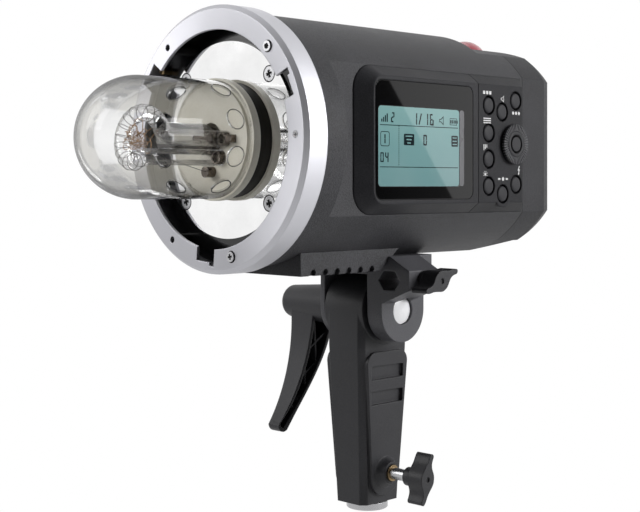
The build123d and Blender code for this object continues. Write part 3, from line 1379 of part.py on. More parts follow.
with BuildPart() as fork_bracket:
    with BuildSketch(tilt_plane(-EAR_IN - LEFT_EAR_THICK)):
        with Locations((0, (PLATE_BOTTOM + UNDER_BODY) / 2)):
            Rectangle(2 * EAR_R, UNDER_BODY - PLATE_BOTTOM)
    extrude(amount=EAR_IN + LEFT_EAR_THICK + BLOCK_TOP_X)
    with BuildSketch(fork_plane(-EAR_R)):
        with BuildLine():
            Polyline(
                (EAR_IN, BLOCK_BOTTOM),
                (EAR_OUT, BLOCK_BOTTOM),
                (BLOCK_X, BLOCK_BOTTOM + BLOCK_BOTTOM_RISE),
                (BLOCK_X, UNDER_BODY - BLOCK_TOP_DROP),
                (BLOCK_TOP_X, UNDER_BODY),
                (EAR_IN, UNDER_BODY),
                close=True,
            )
        make_face()
    extrude(amount=-EAR_R - BLOCK_BACK)
    for start, thick in ((EAR_IN, EAR_OUT - EAR_IN), (-EAR_IN - LEFT_EAR_THICK, LEFT_EAR_THICK)):
        with BuildSketch(tilt_plane(start)):
            Circle(EAR_R)
            with Locations((0, UNDER_BODY / 2)):
                Rectangle(2 * EAR_R, UNDER_BODY)
        extrude(amount=thick)
    with BuildSketch(tilt_plane(-SKIRT_HALF)):
        with BuildLine():
            Polyline(*SKIRT_CUT, close=True)
        make_face()
    extrude(amount=2 * SKIRT_HALF, mode=Mode.SUBTRACT)
    # Bolt bore, with the counterbore of its head
    with BuildSketch(tilt_plane(-EAR_OUT)):
        Circle(BOLT_R + SHAFT_PLAY)
    extrude(amount=2 * EAR_OUT, mode=Mode.SUBTRACT)
    with BuildSketch(tilt_plane(BOLT_SEAT_X)):
        Circle(EAR_BORE_R)
    extrude(amount=EAR_OUT, mode=Mode.SUBTRACT)
    # Umbrella hole and its clamp screw
    with BuildSketch(fork_plane(-EAR_R)):
        with Locations((HEX_X, HEX_UP)):
            Polygon(
                (HEX_WIDTH / 2, 0),
                (HEX_WIDTH / 4, HEX_HEIGHT / 2),
                (-HEX_WIDTH / 4, HEX_HEIGHT / 2),
                (-HEX_WIDTH / 2, 0),
                (-HEX_WIDTH / 4, -HEX_HEIGHT / 2),
                (HEX_WIDTH / 4, -HEX_HEIGHT / 2),
                align=None,
            )
    extrude(amount=-2 * EAR_R, mode=Mode.SUBTRACT)
    with BuildSketch(tilt_plane(HEX_X)):
        with Locations((-WING_FORWARD, WING_UP)):
            Circle(SCREW_R + SHAFT_PLAY)
    extrude(amount=BLOCK_X, mode=Mode.SUBTRACT)
    with BuildSketch(tilt_plane(BLOCK_X - WING_RECESS)):
        with Locations((-WING_FORWARD, WING_UP)):
            Circle(WING_RECESS_R)
    extrude(amount=BLOCK_X, mode=Mode.SUBTRACT)
    # Holes of the screws into the housing
    with BuildSketch(Plane.XY.offset(TILT_Z + PLATE_BOTTOM)):
        with GridLocations(2 * BRACKET_SCREW_X, BRACKET_SCREW_SPACING, 2, 2):
            Circle(BRACKET_SHANK_R + FIT)
    extrude(amount=UNDER_BODY, mode=Mode.SUBTRACT)
    with BuildSketch(Plane.XY.offset(TILT_Z + PLATE_BOTTOM)):
        with GridLocations(2 * BRACKET_SCREW_X, BRACKET_SCREW_SPACING, 2, 2):
            Circle(BRACKET_HEAD_R + FIT)
    extrude(amount=BRACKET_HEAD_H + BRACKET_SINK, mode=Mode.SUBTRACT)

bracket_screw_solids = [
    driven_screw(
        Location((across, along, TILT_Z + PLATE_BOTTOM + BRACKET_SINK), (180, 0, 0)),
        BRACKET_HEAD_R,
        BRACKET_HEAD_H,
        BRACKET_SHANK_R,
        UNDER_BODY - PLATE_BOTTOM + BRACKET_SCREW_LENGTH - BRACKET_SINK - FIT,
    )
    for across in (-BRACKET_SCREW_X, BRACKET_SCREW_X)
    for along in (-BRACKET_SCREW_SPACING / 2, BRACKET_SCREW_SPACING / 2)
]
with BuildPart() as bracket_screws:
    add(bracket_screw_solids)

bolt_crown_x = EAR_OUT - BOLT_HEAD_IN
bolt_rim_x = bolt_crown_x - BOLT_RIM_IN
bolt_end_x = LEVER_END - LEVER_CAP
with BuildPart() as tilt_bolt:
    with BuildSketch(tilt_plane(-bolt_end_x)):
        Circle(BOLT_R)
    extrude(amount=bolt_end_x + BOLT_SEAT_X)
    with BuildSketch(fork_plane(0)):
        with BuildLine():
            Polyline(
                (bolt_crown_x, 0), (BOLT_SEAT_X, 0), (BOLT_SEAT_X, BOLT_HEAD_R), (bolt_rim_x, BOLT_HEAD_R)
            )
            TangentArc((bolt_crown_x, 0), (bolt_rim_x, BOLT_HEAD_R), tangent=(0, 1))
        make_face()
    revolve(axis=TILT_AXIS)

with BuildPart() as thrust_washers:
    for start in (-EAR_IN, EAR_IN - WASHER_THICK):
        with BuildSketch(tilt_plane(start)):
            Circle(WASHER_R)
            Circle(BOLT_R + SHAFT_PLAY, mode=Mode.SUBTRACT)
        extrude(amount=WASHER_THICK)


def lever_blank(profile, cut_outer, cut_inner):
    """The lever's side view extruded, then kept between its outer and inner faces, each moved
    towards the body."""
    with BuildSketch(fork_plane(LEVER_END)) as view:
        with BuildLine():
            Polyline(
                (-LEVER_OUT + cut_outer, 0),
                (-LEVER_IN + cut_inner, 0),
                (-LEVER_TIP_IN + cut_inner, -LEVER_REACH),
                (-LEVER_TIP_OUT + cut_outer, -LEVER_REACH),
                close=True,
            )
        make_face()
    with BuildPart() as blank:
        extrude(profile, amount=LEVER_END)
        extrude(view.sketch, amount=2 * LEVER_END, mode=Mode.INTERSECT)
    return blank.part


def lever_profile(inset):
    """Side view of the lever's arm, drawn in all round by an inset."""
    front = [(behind + inset, above) for behind, above in LEVER_FRONT]
    back = [(behind - inset, above) for behind, above in LEVER_BACK]
    front[-1] = (front[-1][0], front[-1][1] + inset)
    back[-1] = (back[-1][0], back[-1][1] + inset)
    with BuildSketch(tilt_plane(-LEVER_END)) as profile:
        with BuildLine():
            Spline(*front)
            Spline(*back)
            Line(front[0], back[0])
            SagittaArc(front[-1], back[-1], -LEVER_TIP_BULGE)
        make_face()
    return profile


with BuildSketch(tilt_plane(-LEVER_END)) as lever_ribs:
    for rib_at in LEVER_RIBS:
        for lean in (-LEVER_RIB_LEAN, LEVER_RIB_LEAN):
            with Locations(rib_at):
                Rectangle(LEVER_RIB, LEVER_REACH / 3, rotation=LEVER_ARM_LEAN + lean)
    add(lever_profile(LEVER_WALL / 2).sketch_local, mode=Mode.INTERSECT)

lever_arm = lever_blank(lever_profile(0).sketch, 0, 0)
lever_channel = lever_blank(lever_profile(LEVER_WALL).sketch, LEVER_WEB, LEVER_WALL)
lever_rib_bars = lever_blank(lever_ribs.sketch, LEVER_WEB / 2, -LEVER_WALL)

with BuildPart() as tilt_lever:
    add(lever_arm)
    add(lever_channel, mode=Mode.SUBTRACT)
    add(lever_rib_bars)
    with BuildSketch(fork_plane(0)):
        with BuildLine():
            Polyline(
                (-LEVER_START, 0),
                (-LEVER_START, LEVER_NECK_R),
                (-LEVER_START - LEVER_NECK, LEVER_NECK_R),
                (-LEVER_START - LEVER_NECK, LEVER_HUB_R),
                (-LEVER_END, LEVER_TIP_R),
                (-LEVER_END, 0),
                close=True,
            )
        make_face()
    revolve(axis=TILT_AXIS)
    fillet(tilt_lever.faces().sort_by(Axis.X)[0].edges(), LEVER_TIP_EDGE)
    with BuildSketch(tilt_plane(-bolt_end_x - GAP)):
        Circle(BOLT_R + SHAFT_PLAY)
    extrude(amount=bolt_end_x, mode=Mode.SUBTRACT)

# ---- Clamp screws and wing knobs ----


def screw_plane(along, up, across, turn=0):
    """Plane across a clamp screw: x is behind its axis, y is above it, normal +X; turn leans both."""
    return Plane(
        origin=(across, along, up), x_dir=Vector(0, 1, 0).rotate(Axis.X, turn), z_dir=(1, 0, 0)
    )


def clamp_screw_shank(along, up, tip, end):
    """Round screw along X with a chamfered tip."""
    with BuildPart() as shank:
        with BuildSketch(screw_plane(along, up, tip)):
            Circle(SCREW_R)
        extrude(amount=end - tip)
        chamfer(shank.faces().sort_by(Axis.X)[0].edges(), SCREW_R / 4)
    return shank.part


def wing_knob(along, up, collar_face, end, turn):
    """Two-lobed wing knob, the same turned half round, on a collar; turn leans the lobes."""
    outline = [*WING_HALF, *((-x, -y) for x, y in WING_HALF)]
    with BuildPart() as knob:
        with BuildSketch(screw_plane(along, up, end - WING_THICK, turn)):
            with BuildLine():
                Spline(*outline, periodic=True)
            make_face()
        extrude(amount=WING_THICK)
        with BuildSketch(screw_plane(along, up, collar_face)):
            Circle(COLLAR_R)
        extrude(amount=end - WING_THICK / 2 - collar_face)
        with BuildSketch(screw_plane(along, up, end - WING_DIMPLE)):
            Circle(WING_DIMPLE_R)
        extrude(amount=WING_DIMPLE, mode=Mode.SUBTRACT)
        with BuildSketch(screw_plane(along, up, collar_face)):
            Circle(SCREW_R + SHAFT_PLAY)
        extrude(amount=end - WING_CAP - collar_face, mode=Mode.SUBTRACT)
    return knob.part


with BuildPart() as umbrella_screw:
    add(
        clamp_screw_shank(
            -WING_FORWARD,
            TILT_Z + WING_UP,
            HEX_X + HEX_WIDTH / 2 + GAP,
            UMBRELLA_KNOB_END - WING_CAP - GAP,
        )
    )
with BuildPart() as umbrella_wing:
    add(wing_knob(-WING_FORWARD, TILT_Z + WING_UP, BLOCK_X + GAP, UMBRELLA_KNOB_END, UMBRELLA_TURN))
with BuildPart() as clamp_screw:
    add(clamp_screw_shank(0, CLAMP_Z, SOCKET_R + GAP, CLAMP_KNOB_END - WING_CAP - GAP))
with BuildPart() as clamp_knob:
    add(wing_knob(0, CLAMP_Z, CLAMP_KNOB_END - WING_THICK - COLLAR_LENGTH, CLAMP_KNOB_END, CLAMP_TURN))

# ---- Grip and stand socket ----

tongue_reach = PANEL_OUT + FIT
with BuildPart() as grip_column:
    with BuildSketch(Plane.XY.offset(GRIP_BOTTOM_Z)):
        grip_foot = Rectangle(GRIP_BOTTOM_X, GRIP_BOTTOM_Y)
        chamfer(grip_foot.vertices(), GRIP_CHAMFER)
    with BuildSketch(Plane.XY.offset(GRIP_TOP_Z)):
        grip_neck = Rectangle(GRIP_TOP_X, 2 * GRIP_HUB_R)
        chamfer(grip_neck.vertices(), GRIP_CHAMFER)
    loft()
    extrude(grip_column.faces().sort_by(Axis.Z)[-1], amount=TILT_Z - GRIP_TOP_Z)
    with BuildSketch(tilt_plane(-HUB_HALF)):
        Circle(GRIP_HUB_R)
    extrude(amount=2 * HUB_HALF)

with BuildPart() as grip_tongues:
    with BuildSketch(side_plane(-tongue_reach)) as tongue_outline:
        with BuildLine():
            Polyline(
                (RING_FRONT - TONGUE_BOTTOM_HALF, TONGUE_BOTTOM_Z - HEAD_Z),
                (RING_FRONT + TONGUE_BOTTOM_HALF, TONGUE_BOTTOM_Z - HEAD_Z),
                (RING_FRONT + TONGUE_TOP_HALF, TONGUE_TOP_Z - HEAD_Z),
                (RING_FRONT - TONGUE_TOP_HALF, TONGUE_TOP_Z - HEAD_Z),
                close=True,
            )
        make_face()
        fillet(tongue_outline.vertices().group_by(Axis.Y)[-1], TONGUE_TOP_CORNER)
        fillet(tongue_outline.vertices().group_by(Axis.Y)[0], TONGUE_BOTTOM_CORNER)
    extrude(amount=2 * tongue_reach)
    with BuildSketch(fork_plane(GRIP_HUB_R)):
        with BuildLine():
            Polyline(
                (-PANEL_BOTTOM_OUT, TONGUE_BOTTOM_Z - TILT_Z),
                (PANEL_BOTTOM_OUT, TONGUE_BOTTOM_Z - TILT_Z),
                (PANEL_OUT, TONGUE_TOP_Z - TILT_Z),
                (-PANEL_OUT, TONGUE_TOP_Z - TILT_Z),
                close=True,
            )
        make_face()
    extrude(amount=2 * GRIP_HUB_R, mode=Mode.INTERSECT)
    for side in (-1, 1):
        for slot_z in SLOT_HEIGHTS:
            for share, depth in ((1, SLOT_DEPTH / 2), (1 / 3, SLOT_DEPTH)):
                with BuildSketch(tilt_plane(side * PANEL_OUT)):
                    with Locations((SLOT_LENGTH * (1 - share) / 2, slot_z - TILT_Z)):
                        RectangleRounded(SLOT_LENGTH * share, SLOT_HEIGHT, SLOT_CORNER)
                extrude(amount=-side * depth, mode=Mode.SUBTRACT)

boss_base_x = PANEL_BOTTOM_OUT - FIT
socket_top = SOCKET_LENGTH + FIT
with BuildPart() as clamp_boss:
    with BuildSketch(fork_plane(0)):
        with BuildLine():
            Polyline(
                (0, CLAMP_Z - TILT_Z),
                (boss_base_x, CLAMP_Z - TILT_Z),
                (BOSS_FACE_X, CLAMP_Z - TILT_Z),
                (BOSS_FACE_X, CLAMP_Z - TILT_Z + BOSS_FACE_R),
            )
            Bezier(
                (BOSS_FACE_X, CLAMP_Z - TILT_Z + BOSS_FACE_R),
                (boss_base_x, CLAMP_Z - TILT_Z + BOSS_FACE_R + GRIP_CHAMFER / 2),
                (boss_base_x, CLAMP_Z - TILT_Z + BOSS_CONE_R),
            )
            Polyline(
                (boss_base_x, CLAMP_Z - TILT_Z + BOSS_CONE_R),
                (0, CLAMP_Z - TILT_Z + BOSS_CONE_R),
                (0, CLAMP_Z - TILT_Z),
            )
        make_face()
    revolve(axis=Axis((0, 0, CLAMP_Z), (1, 0, 0)))

with BuildPart() as grip_body:
    add(grip_column.part)
    add(grip_tongues.part)
    add(clamp_boss.part)
    with BuildSketch(tilt_plane(-HUB_HALF)):
        Circle(BOLT_R + SHAFT_PLAY)
    extrude(amount=2 * HUB_HALF, mode=Mode.SUBTRACT)
    with BuildSketch(Plane.XY.offset(GRIP_BOTTOM_Z)):
        Circle(SLEEVE_R + FIT)
    extrude(amount=socket_top - GRIP_BOTTOM_Z, mode=Mode.SUBTRACT)
    with BuildSketch(screw_plane(0, CLAMP_Z, 0)):
        Circle(INSERT_R)
    extrude(amount=BOSS_FACE_X, mode=Mode.SUBTRACT)

with BuildPart() as stand_bush:
    with BuildSketch(Plane.XY):
        Circle(SOCKET_FLANGE_R)
    extrude(amount=GRIP_BOTTOM_Z)
    chamfer(stand_bush.edges().filter_by(GeomType.CIRCLE), FLANGE_EDGE)
    with BuildSketch(Plane.XY.offset(GRIP_BOTTOM_Z)):
        Circle(SLEEVE_R)
    extrude(amount=SOCKET_LENGTH - GRIP_BOTTOM_Z)
    with BuildSketch(Plane.XY):
        Circle(SOCKET_R)
    extrude(amount=SOCKET_LENGTH, mode=Mode.SUBTRACT)
    with BuildSketch(screw_plane(0, CLAMP_Z, 0)):
        Circle(SCREW_R + FIT)
    extrude(amount=SLEEVE_R, mode=Mode.SUBTRACT)

insert_end_x = BOSS_FACE_X + INSERT_PROUD
with BuildPart() as brass_insert:
    with BuildSketch(screw_plane(0, CLAMP_Z, insert_end_x - INSERT_LENGTH)):
        Circle(INSERT_R - SHAFT_PLAY)
        Circle(SCREW_R + SHAFT_PLAY, mode=Mode.SUBTRACT)
    extrude(amount=INSERT_LENGTH)

# ---- Written pieces ----

sub_parts = {
    "front_ring": front_ring,
    "ring_screws": ring_screws,
    "mount_barrel": mount_barrel,
    "lock_pin": lock_pin,
    "release_slider": release_slider,
    "reflector_plate": reflector_plate,
    "reflector_screws": reflector_screws,
    "base_gasket": base_gasket,
    "bulb_base": bulb_base,
    "glass_dome": glass_dome,
    "flash_tube": flash_tube,
    "trigger_wire": trigger_wire,
    "modelling_lamp": modelling_lamp,
    "lamp_holder": lamp_holder,
    "tube_terminals": tube_terminals,
    "main_shell": main_shell,
    "vent_skirt": vent_skirt,
    "rear_cap": rear_cap,
    "housing_screws": housing_screws,
    "sensor_window": sensor_window,
    "console_frame": console_frame,
    "screen_glass": screen_glass,
    "lcd_panel": lcd_panel,
    "keypad_plate": keypad_plate,
    "set_button": set_button,
    "dial": dial,
    "control_board": control_board,
    "battery_pack": battery_pack,
    "battery_latch": battery_latch,
    "battery_check_button": battery_check_button,
    "battery_leds": battery_leds,
    "battery_contacts": battery_contacts,
    "main_board": main_board,
    "capacitors": capacitors,
    "fan_frame": fan_frame,
    "fan_rotor": fan_rotor,
    "jack_panel": jack_panel,
    "port_cover": port_cover,
    "power_switch": power_switch,
    "fork_bracket": fork_bracket,
    "bracket_screws": bracket_screws,
    "tilt_bolt": tilt_bolt,
    "thrust_washers": thrust_washers,
    "tilt_lever": tilt_lever,
    "umbrella_screw": umbrella_screw,
    "umbrella_wing": umbrella_wing,
    "grip_body": grip_body,
    "stand_bush": stand_bush,
    "brass_insert": brass_insert,
    "clamp_screw": clamp_screw,
    "clamp_knob": clamp_knob,
}
for name, builder in sub_parts.items():
    builder.part.label = name
    export_step(builder.part, f"parts/{name}.step")
for name, key in keys.items():
    key.label = name
    export_step(key, f"parts/{name}.step")
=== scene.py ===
"""The looks of a studio strobe on its stand grip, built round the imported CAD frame."""
import json
import math
import random

import bmesh
import bpy
from mathutils import Matrix, Vector


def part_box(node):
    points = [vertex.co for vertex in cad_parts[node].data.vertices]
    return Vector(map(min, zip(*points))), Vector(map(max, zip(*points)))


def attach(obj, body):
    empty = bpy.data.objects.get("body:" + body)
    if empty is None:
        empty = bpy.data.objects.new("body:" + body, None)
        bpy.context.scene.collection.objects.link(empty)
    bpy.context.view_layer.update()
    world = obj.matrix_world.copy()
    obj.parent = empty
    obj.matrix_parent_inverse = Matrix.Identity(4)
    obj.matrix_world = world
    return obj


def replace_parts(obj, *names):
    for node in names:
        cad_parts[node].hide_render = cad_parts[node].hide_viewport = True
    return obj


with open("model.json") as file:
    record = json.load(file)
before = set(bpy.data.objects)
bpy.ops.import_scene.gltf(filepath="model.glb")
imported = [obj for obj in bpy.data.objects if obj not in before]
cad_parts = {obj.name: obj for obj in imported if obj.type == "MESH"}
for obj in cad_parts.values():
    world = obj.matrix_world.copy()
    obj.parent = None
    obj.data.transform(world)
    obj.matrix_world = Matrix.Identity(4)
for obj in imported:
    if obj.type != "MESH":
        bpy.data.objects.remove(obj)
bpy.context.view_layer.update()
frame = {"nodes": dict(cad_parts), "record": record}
nodes = frame["nodes"]
MM = 0.001

# ---- Places read from the frame ----


def box(node):
    """Lowest and highest corner of a CAD node."""
    low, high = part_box(node)
    return Vector(low), Vector(high)


def middle(node):
    """Centre of a CAD node's box."""
    low, high = box(node)
    return (low + high) / 2


RING_LOW, RING_HIGH = box("front_ring")
HEAD_Z = (RING_HIGH.z + RING_LOW.z) / 2
RING_FRONT = RING_LOW.y


def head(across, depth, height):
    """Place in the head, in mm: across it, behind the ring's face and above the head's axis."""
    return Vector((across * MM, RING_FRONT + depth * MM, HEAD_Z + height * MM))


def depth_of(y):
    """Depth behind the ring's face, in mm."""
    return (y - RING_FRONT) / MM


def height_of(z):
    """Height above the head's axis, in mm."""
    return (z - HEAD_Z) / MM


# ---- Colours and shader nodes ----


def grey(colour):
    """RGBA from a number, an RGB or an RGBA."""
    if isinstance(colour, (int, float)):
        return (colour, colour, colour, 1.0)
    return (*colour, 1.0) if len(colour) == 3 else tuple(colour)


def srgb(red, green, blue):
    """Linear colour from 0 to 255 display values."""
    linear = [value / 255 / 12.92 if value <= 10 else ((value / 255 + 0.055) / 1.055) ** 2.4
              for value in (red, green, blue)]
    return (*linear, 1.0)


def shaded(colour, share):
    """RGB of a colour made darker or lighter by a share."""
    return tuple(min(1, channel * share) for channel in colour[:3])


def add_node(tree, kind, inputs=None, **settings):
    """Adds a shader node to a tree, with its sockets linked or set."""
    made = tree.nodes.new("ShaderNode" + kind)
    for key, value in settings.items():
        setattr(made, key, value)
    for key, value in (inputs or {}).items():
        if isinstance(value, bpy.types.NodeSocket):
            tree.links.new(value, made.inputs[key])
        else:
            made.inputs[key].default_value = value
    return made


MATERIALS = {}            # filled by each Shader under its name


class Shader:
    """One material's node tree, with short calls for the nodes that the finishes share."""

    def __init__(self, name):
        material = bpy.data.materials.new(name)
        material.use_nodes = True
        MATERIALS[name] = material
        self.tree = material.node_tree
        self.tree.nodes.clear()
        self.output = self.node("OutputMaterial")
        self.coords = self.node("TexCoord").outputs["Object"]

    def node(self, kind, inputs=None, **settings):
        """Adds a node to this material."""
        return add_node(self.tree, kind, inputs, **settings)

    def noise(self, scale, detail=2.0, rough=0.5):
        """Noise value at a scale given in cycles per metre."""
        inputs = {"Vector": self.coords, "Scale": scale, "Detail": detail, "Roughness": rough}
        return self.node("TexNoise", inputs).outputs["Fac"]

    def axis(self, letter):
        """One of the object coordinates, in metres."""
        return self.node("SeparateXYZ", {"Vector": self.coords}).outputs[letter]

    def ramp(self, value, *stops):
        """Colour ramp from (position, colour) stops; a plain number stands for a grey."""
        made = self.node("ValToRGB", {"Fac": value})
        ramp = made.color_ramp
        while len(ramp.elements) < len(stops):
            ramp.elements.new(1.0)
        for element, (position, colour) in zip(ramp.elements, stops):
            element.position = position
            element.color = grey(colour)
        return made.outputs["Color"]

    def math(self, operation, a, b=0.0):
        """Result of an operation on two values."""
        return self.node("Math", {0: a, 1: b}, operation=operation).outputs["Value"]

    def blend(self, a, b, share):
        """Sum of two values, the first counting for a share and the second for the rest."""
        first = self.math("MULTIPLY", a, share)
        return self.math("ADD", first, self.math("MULTIPLY", b, 1 - share))

    def mix(self, factor, a, b, blend="MIX"):
        """Mix of two colours."""
        made = self.node("MixRGB", {"Fac": factor, "Color1": a, "Color2": b}, blend_type=blend)
        return made.outputs["Color"]

    def bumpy(self, height, strength, distance, edge):
        """Normals with a bump and with sharp edges softened; both distances are in mm."""
        soft = self.node("Bevel", {"Radius": edge * MM}, samples=6).outputs["Normal"]
        inputs = {"Height": height, "Strength": strength, "Distance": distance * MM, "Normal": soft}
        return self.node("Bump", inputs).outputs["Normal"]

    def surface(self, shader):
        """Links the finished shader to the material."""
        self.tree.links.new(shader, self.output.inputs["Surface"])

    def principled(self, **inputs):
        """Principled shader; underscores in the names stand for spaces."""
        named = {key.replace("_", " "): value for key, value in inputs.items()}
        self.surface(self.node("BsdfPrincipled", named).outputs["BSDF"])


# ---- Materials ----

CLOUD_SHARE = 0.4         # weight of the cloudiness in a moulded surface's colour


def moulded(name, colour, rough=0.5, grain=0.0, grain_size=0.5, edge=0.05, tint=0.04, gloss=0.3,
            seam=None, depth=0.08):
    """Moulded plastic: fine spark texture, faint cloudiness and soft edges.

    grain is the texture's strength, depth its height and grain_size its width, and edge is the
    radius of soft edges; mm. seam gives the place along the head and the half width, in metres, of
    a dark joint line."""
    s = Shader(name)
    fine = s.noise(1000 / grain_size, 3.0, 0.6)
    cloud = s.noise(38, 4.0, 0.55)
    blend = s.blend(fine, cloud, 1 - CLOUD_SHARE)
    base = s.ramp(blend, (0.38, shaded(colour, 1 - tint)), (0.62, shaded(colour, 1 + tint)))
    if seam:
        place, half_width = seam
        away = s.math("ABSOLUTE", s.math("SUBTRACT", s.axis("Y"), place))
        base = s.mix(s.math("LESS_THAN", away, half_width), base, grey(0.004))
    spread = s.ramp(cloud, (0.3, rough - 0.05), (0.7, rough + 0.06))
    s.principled(Base_Color=base, Roughness=spread, Normal=s.bumpy(fine, grain, depth, edge),
                 Specular_IOR_Level=gloss)


METAL_GRAIN = 0.6         # width of the grain on metal, mm


def metal(name, colour, rough, edge, spread=0.06):
    """Metal with faint stains, a fine grain and edges softened by a radius in mm."""
    s = Shader(name)
    grain = s.noise(1000 / METAL_GRAIN, 2.0, 0.6)
    shade = s.blend(s.noise(90, 3.0), grain, 0.5)
    base = s.ramp(shade, (0.3, shaded(colour, 0.88)), (0.7, colour))
    roughness = s.ramp(shade, (0.3, rough - spread), (0.7, rough + spread))
    s.principled(Base_Color=base, Metallic=1.0, Roughness=roughness,
                 Normal=s.bumpy(grain, 0.08, 0.02, edge))


def turned_metal(name, colour, rough):
    """Turned aluminium: fine rings about the head's axis, which draw highlights out across them."""
    s = Shader(name)
    centred = s.node("VectorMath", {0: s.coords, 1: (0, 0, HEAD_Z)}, operation="SUBTRACT")
    flat = s.node("VectorMath", {0: centred.outputs["Vector"], 1: (1, 0, 1)}, operation="MULTIPLY")
    radius = s.node("VectorMath", {0: flat.outputs["Vector"]}, operation="LENGTH").outputs["Value"]
    turning = {"W": radius, "Scale": 2600.0, "Detail": 2.0}
    rings = s.node("TexNoise", turning, noise_dimensions="1D").outputs["Fac"]
    shade = s.blend(rings, s.noise(60, 3.0), 0.35)
    base = s.ramp(shade, (0.3, shaded(colour, 0.93)), (0.7, colour))
    tangent = s.node("Tangent", direction_type="RADIAL", axis="Y").outputs["Tangent"]
    s.principled(Base_Color=base, Metallic=1.0, Roughness=rough, Anisotropic=0.75, Tangent=tangent,
                 Normal=s.bumpy(rings, 0.04, 0.01, 0.5))


def clear_glass(name, rim, centre, gloss, start, shade_r=None):
    """Thin clear glass: see-through face on, greyer towards its rim, with a Fresnel gloss.

    start is where the greying begins, as a share of the turn away from the eye. shade_r gives the
    radius, in metres, of a glass on the head's axis whose top and bottom are painted grey: a
    painted reflection of the dim studio."""
    s = Shader(name)
    facing = s.node("LayerWeight", {"Blend": 0.5}).outputs["Facing"]
    tint = s.ramp(facing, (0.0, centre), (start, centre * 0.98), (0.9, rim), (1.0, rim))
    # Glass far above or below the axis is painted greyer: a painted reflection of the dim studio.
    if shade_r:
        height = s.math("SUBTRACT", s.axis("Z"), HEAD_Z)
        off = s.math("DIVIDE", s.math("ABSOLUTE", height), shade_r)
        painted_reflection_band = s.ramp(off, (0.0, 1.0), (0.5, 0.97), (0.78, 0.8), (0.97, 0.62))
        tint = s.mix(1.0, tint, painted_reflection_band, "MULTIPLY")
    see = s.node("BsdfTransparent", {"Color": tint}).outputs["BSDF"]
    shine = s.node("BsdfGlossy", {"Color": grey(1.0), "Roughness": 0.03}).outputs["BSDF"]
    fresnel = s.node("Fresnel", {"IOR": 1.45}).outputs["Fac"]
    factor = s.math("MULTIPLY", fresnel, gloss)
    s.surface(s.node("MixShader", {0: factor, 1: see, 2: shine}).outputs["Shader"])


def rubber(name, colour):
    """Matt rubber."""
    s = Shader(name)
    normal = s.bumpy(s.noise(2600, 3.0), 0.2, 0.05, 0.3)
    s.principled(Base_Color=colour, Roughness=0.62, Normal=normal, Specular_IOR_Level=0.2)


def ceramic(name):
    """Unglazed beige ceramic, speckled and a little dusty."""
    s = Shader(name)
    speck = s.noise(900, 4.0, 0.7)
    dust = s.blend(speck, s.noise(60, 3.0), 0.4)
    base = s.ramp(dust, (0.3, srgb(224, 219, 202)), (0.7, srgb(243, 240, 228)))
    s.principled(Base_Color=base, Roughness=0.5, Normal=s.bumpy(speck, 0.25, 0.05, 0.4),
                 Specular_IOR_Level=0.4)


def display(name):
    """Backlit display under clear glass: pale teal, lighter towards its top and a bit uneven."""
    s = Shader(name)
    low, high = box("lcd_panel")
    span = s.node("MapRange", {"Value": s.axis("Z"), "From Min": low.z, "From Max": high.z})
    base = s.ramp(span.outputs["Result"], (0.0, srgb(84, 130, 132)), (0.5, srgb(90, 138, 139)),
                  (1.0, srgb(102, 150, 149)))
    tone = s.mix(s.math("MULTIPLY", s.noise(50), 0.12), base, grey(0.5))
    s.principled(Base_Color=tone, Roughness=0.5, Specular_IOR_Level=0.2, Emission_Color=tone,
                 Emission_Strength=0.3, Coat_Weight=1.0, Coat_Roughness=0.02, Coat_IOR=1.8)


def glazed(name, colour):
    """Plain ink or black glass under a polished surface."""
    s = Shader(name)
    base = s.ramp(s.noise(300), (0.3, shaded(colour, 0.9)), (0.7, colour))
    s.principled(Base_Color=base, Roughness=0.6, Specular_IOR_Level=0.0, Coat_Weight=1.0,
                 Coat_Roughness=0.02)


def red_lens(name):
    """Translucent red lens, painted paler towards its rim as a painted sheen."""
    s = Shader(name)
    facing = s.node("LayerWeight", {"Blend": 0.4}).outputs["Facing"]
    # Paler where the lens turns away from the eye: a painted sheen.
    tint = s.ramp(facing, (0.0, srgb(172, 52, 64)), (0.8, srgb(208, 100, 112)),
                  (1.0, srgb(222, 142, 152)))
    s.principled(Base_Color=tint, Roughness=0.12, Alpha=0.86, Coat_Weight=0.6)


def board(name):
    """Circuit board green in patches of two shades."""
    s = Shader(name)
    patches = s.node("TexVoronoi", {"Vector": s.coords, "Scale": 220}).outputs["Color"]
    base = s.ramp(patches, (0.3, srgb(18, 66, 38)), (0.7, srgb(24, 88, 48)))
    s.principled(Base_Color=base, Roughness=0.4, Coat_Weight=0.4)


def mirror(name):
    """Polished reflector, barely hazed by fine wiping marks."""
    s = Shader(name)
    haze = s.noise(60, 4.0, 0.6)
    rough = s.ramp(haze, (0.3, 0.02), (0.7, 0.07))
    base = s.ramp(haze, (0.3, 0.84), (0.7, 0.92))
    s.principled(Base_Color=base, Metallic=1.0, Roughness=rough)


def sleeve(name):
    """Shrink sleeve of the capacitors."""
    s = Shader(name)
    base = s.ramp(s.noise(60), (0.3, srgb(20, 26, 66)), (0.7, srgb(26, 34, 80)))
    s.principled(Base_Color=base, Roughness=0.25, Coat_Weight=0.3)


CAP_SEAM = (box("rear_cap")[0].y, 0.35 * MM)
DOME_R = (box("glass_dome")[1].x - box("glass_dome")[0].x) / 2
# Finishes that several plastics share, as inputs of moulded()
SHELL = {"rough": 0.5, "grain": 1.0, "grain_size": 0.7, "edge": 0.7, "tint": 0.4, "seam": CAP_SEAM,
         "depth": 0.25}
PANEL = {"rough": 0.46, "grain": 0.7, "grain_size": 0.6, "edge": 1.0, "tint": 0.25, "gloss": 0.12,
         "depth": 0.12}
GRIP = {"rough": 0.44, "grain": 0.5, "grain_size": 0.6, "edge": 0.9, "tint": 0.2, "gloss": 0.28,
        "depth": 0.1}
DIAL = {"grain": 0.1, "grain_size": 0.4, "edge": 0.1, "tint": 0.1}

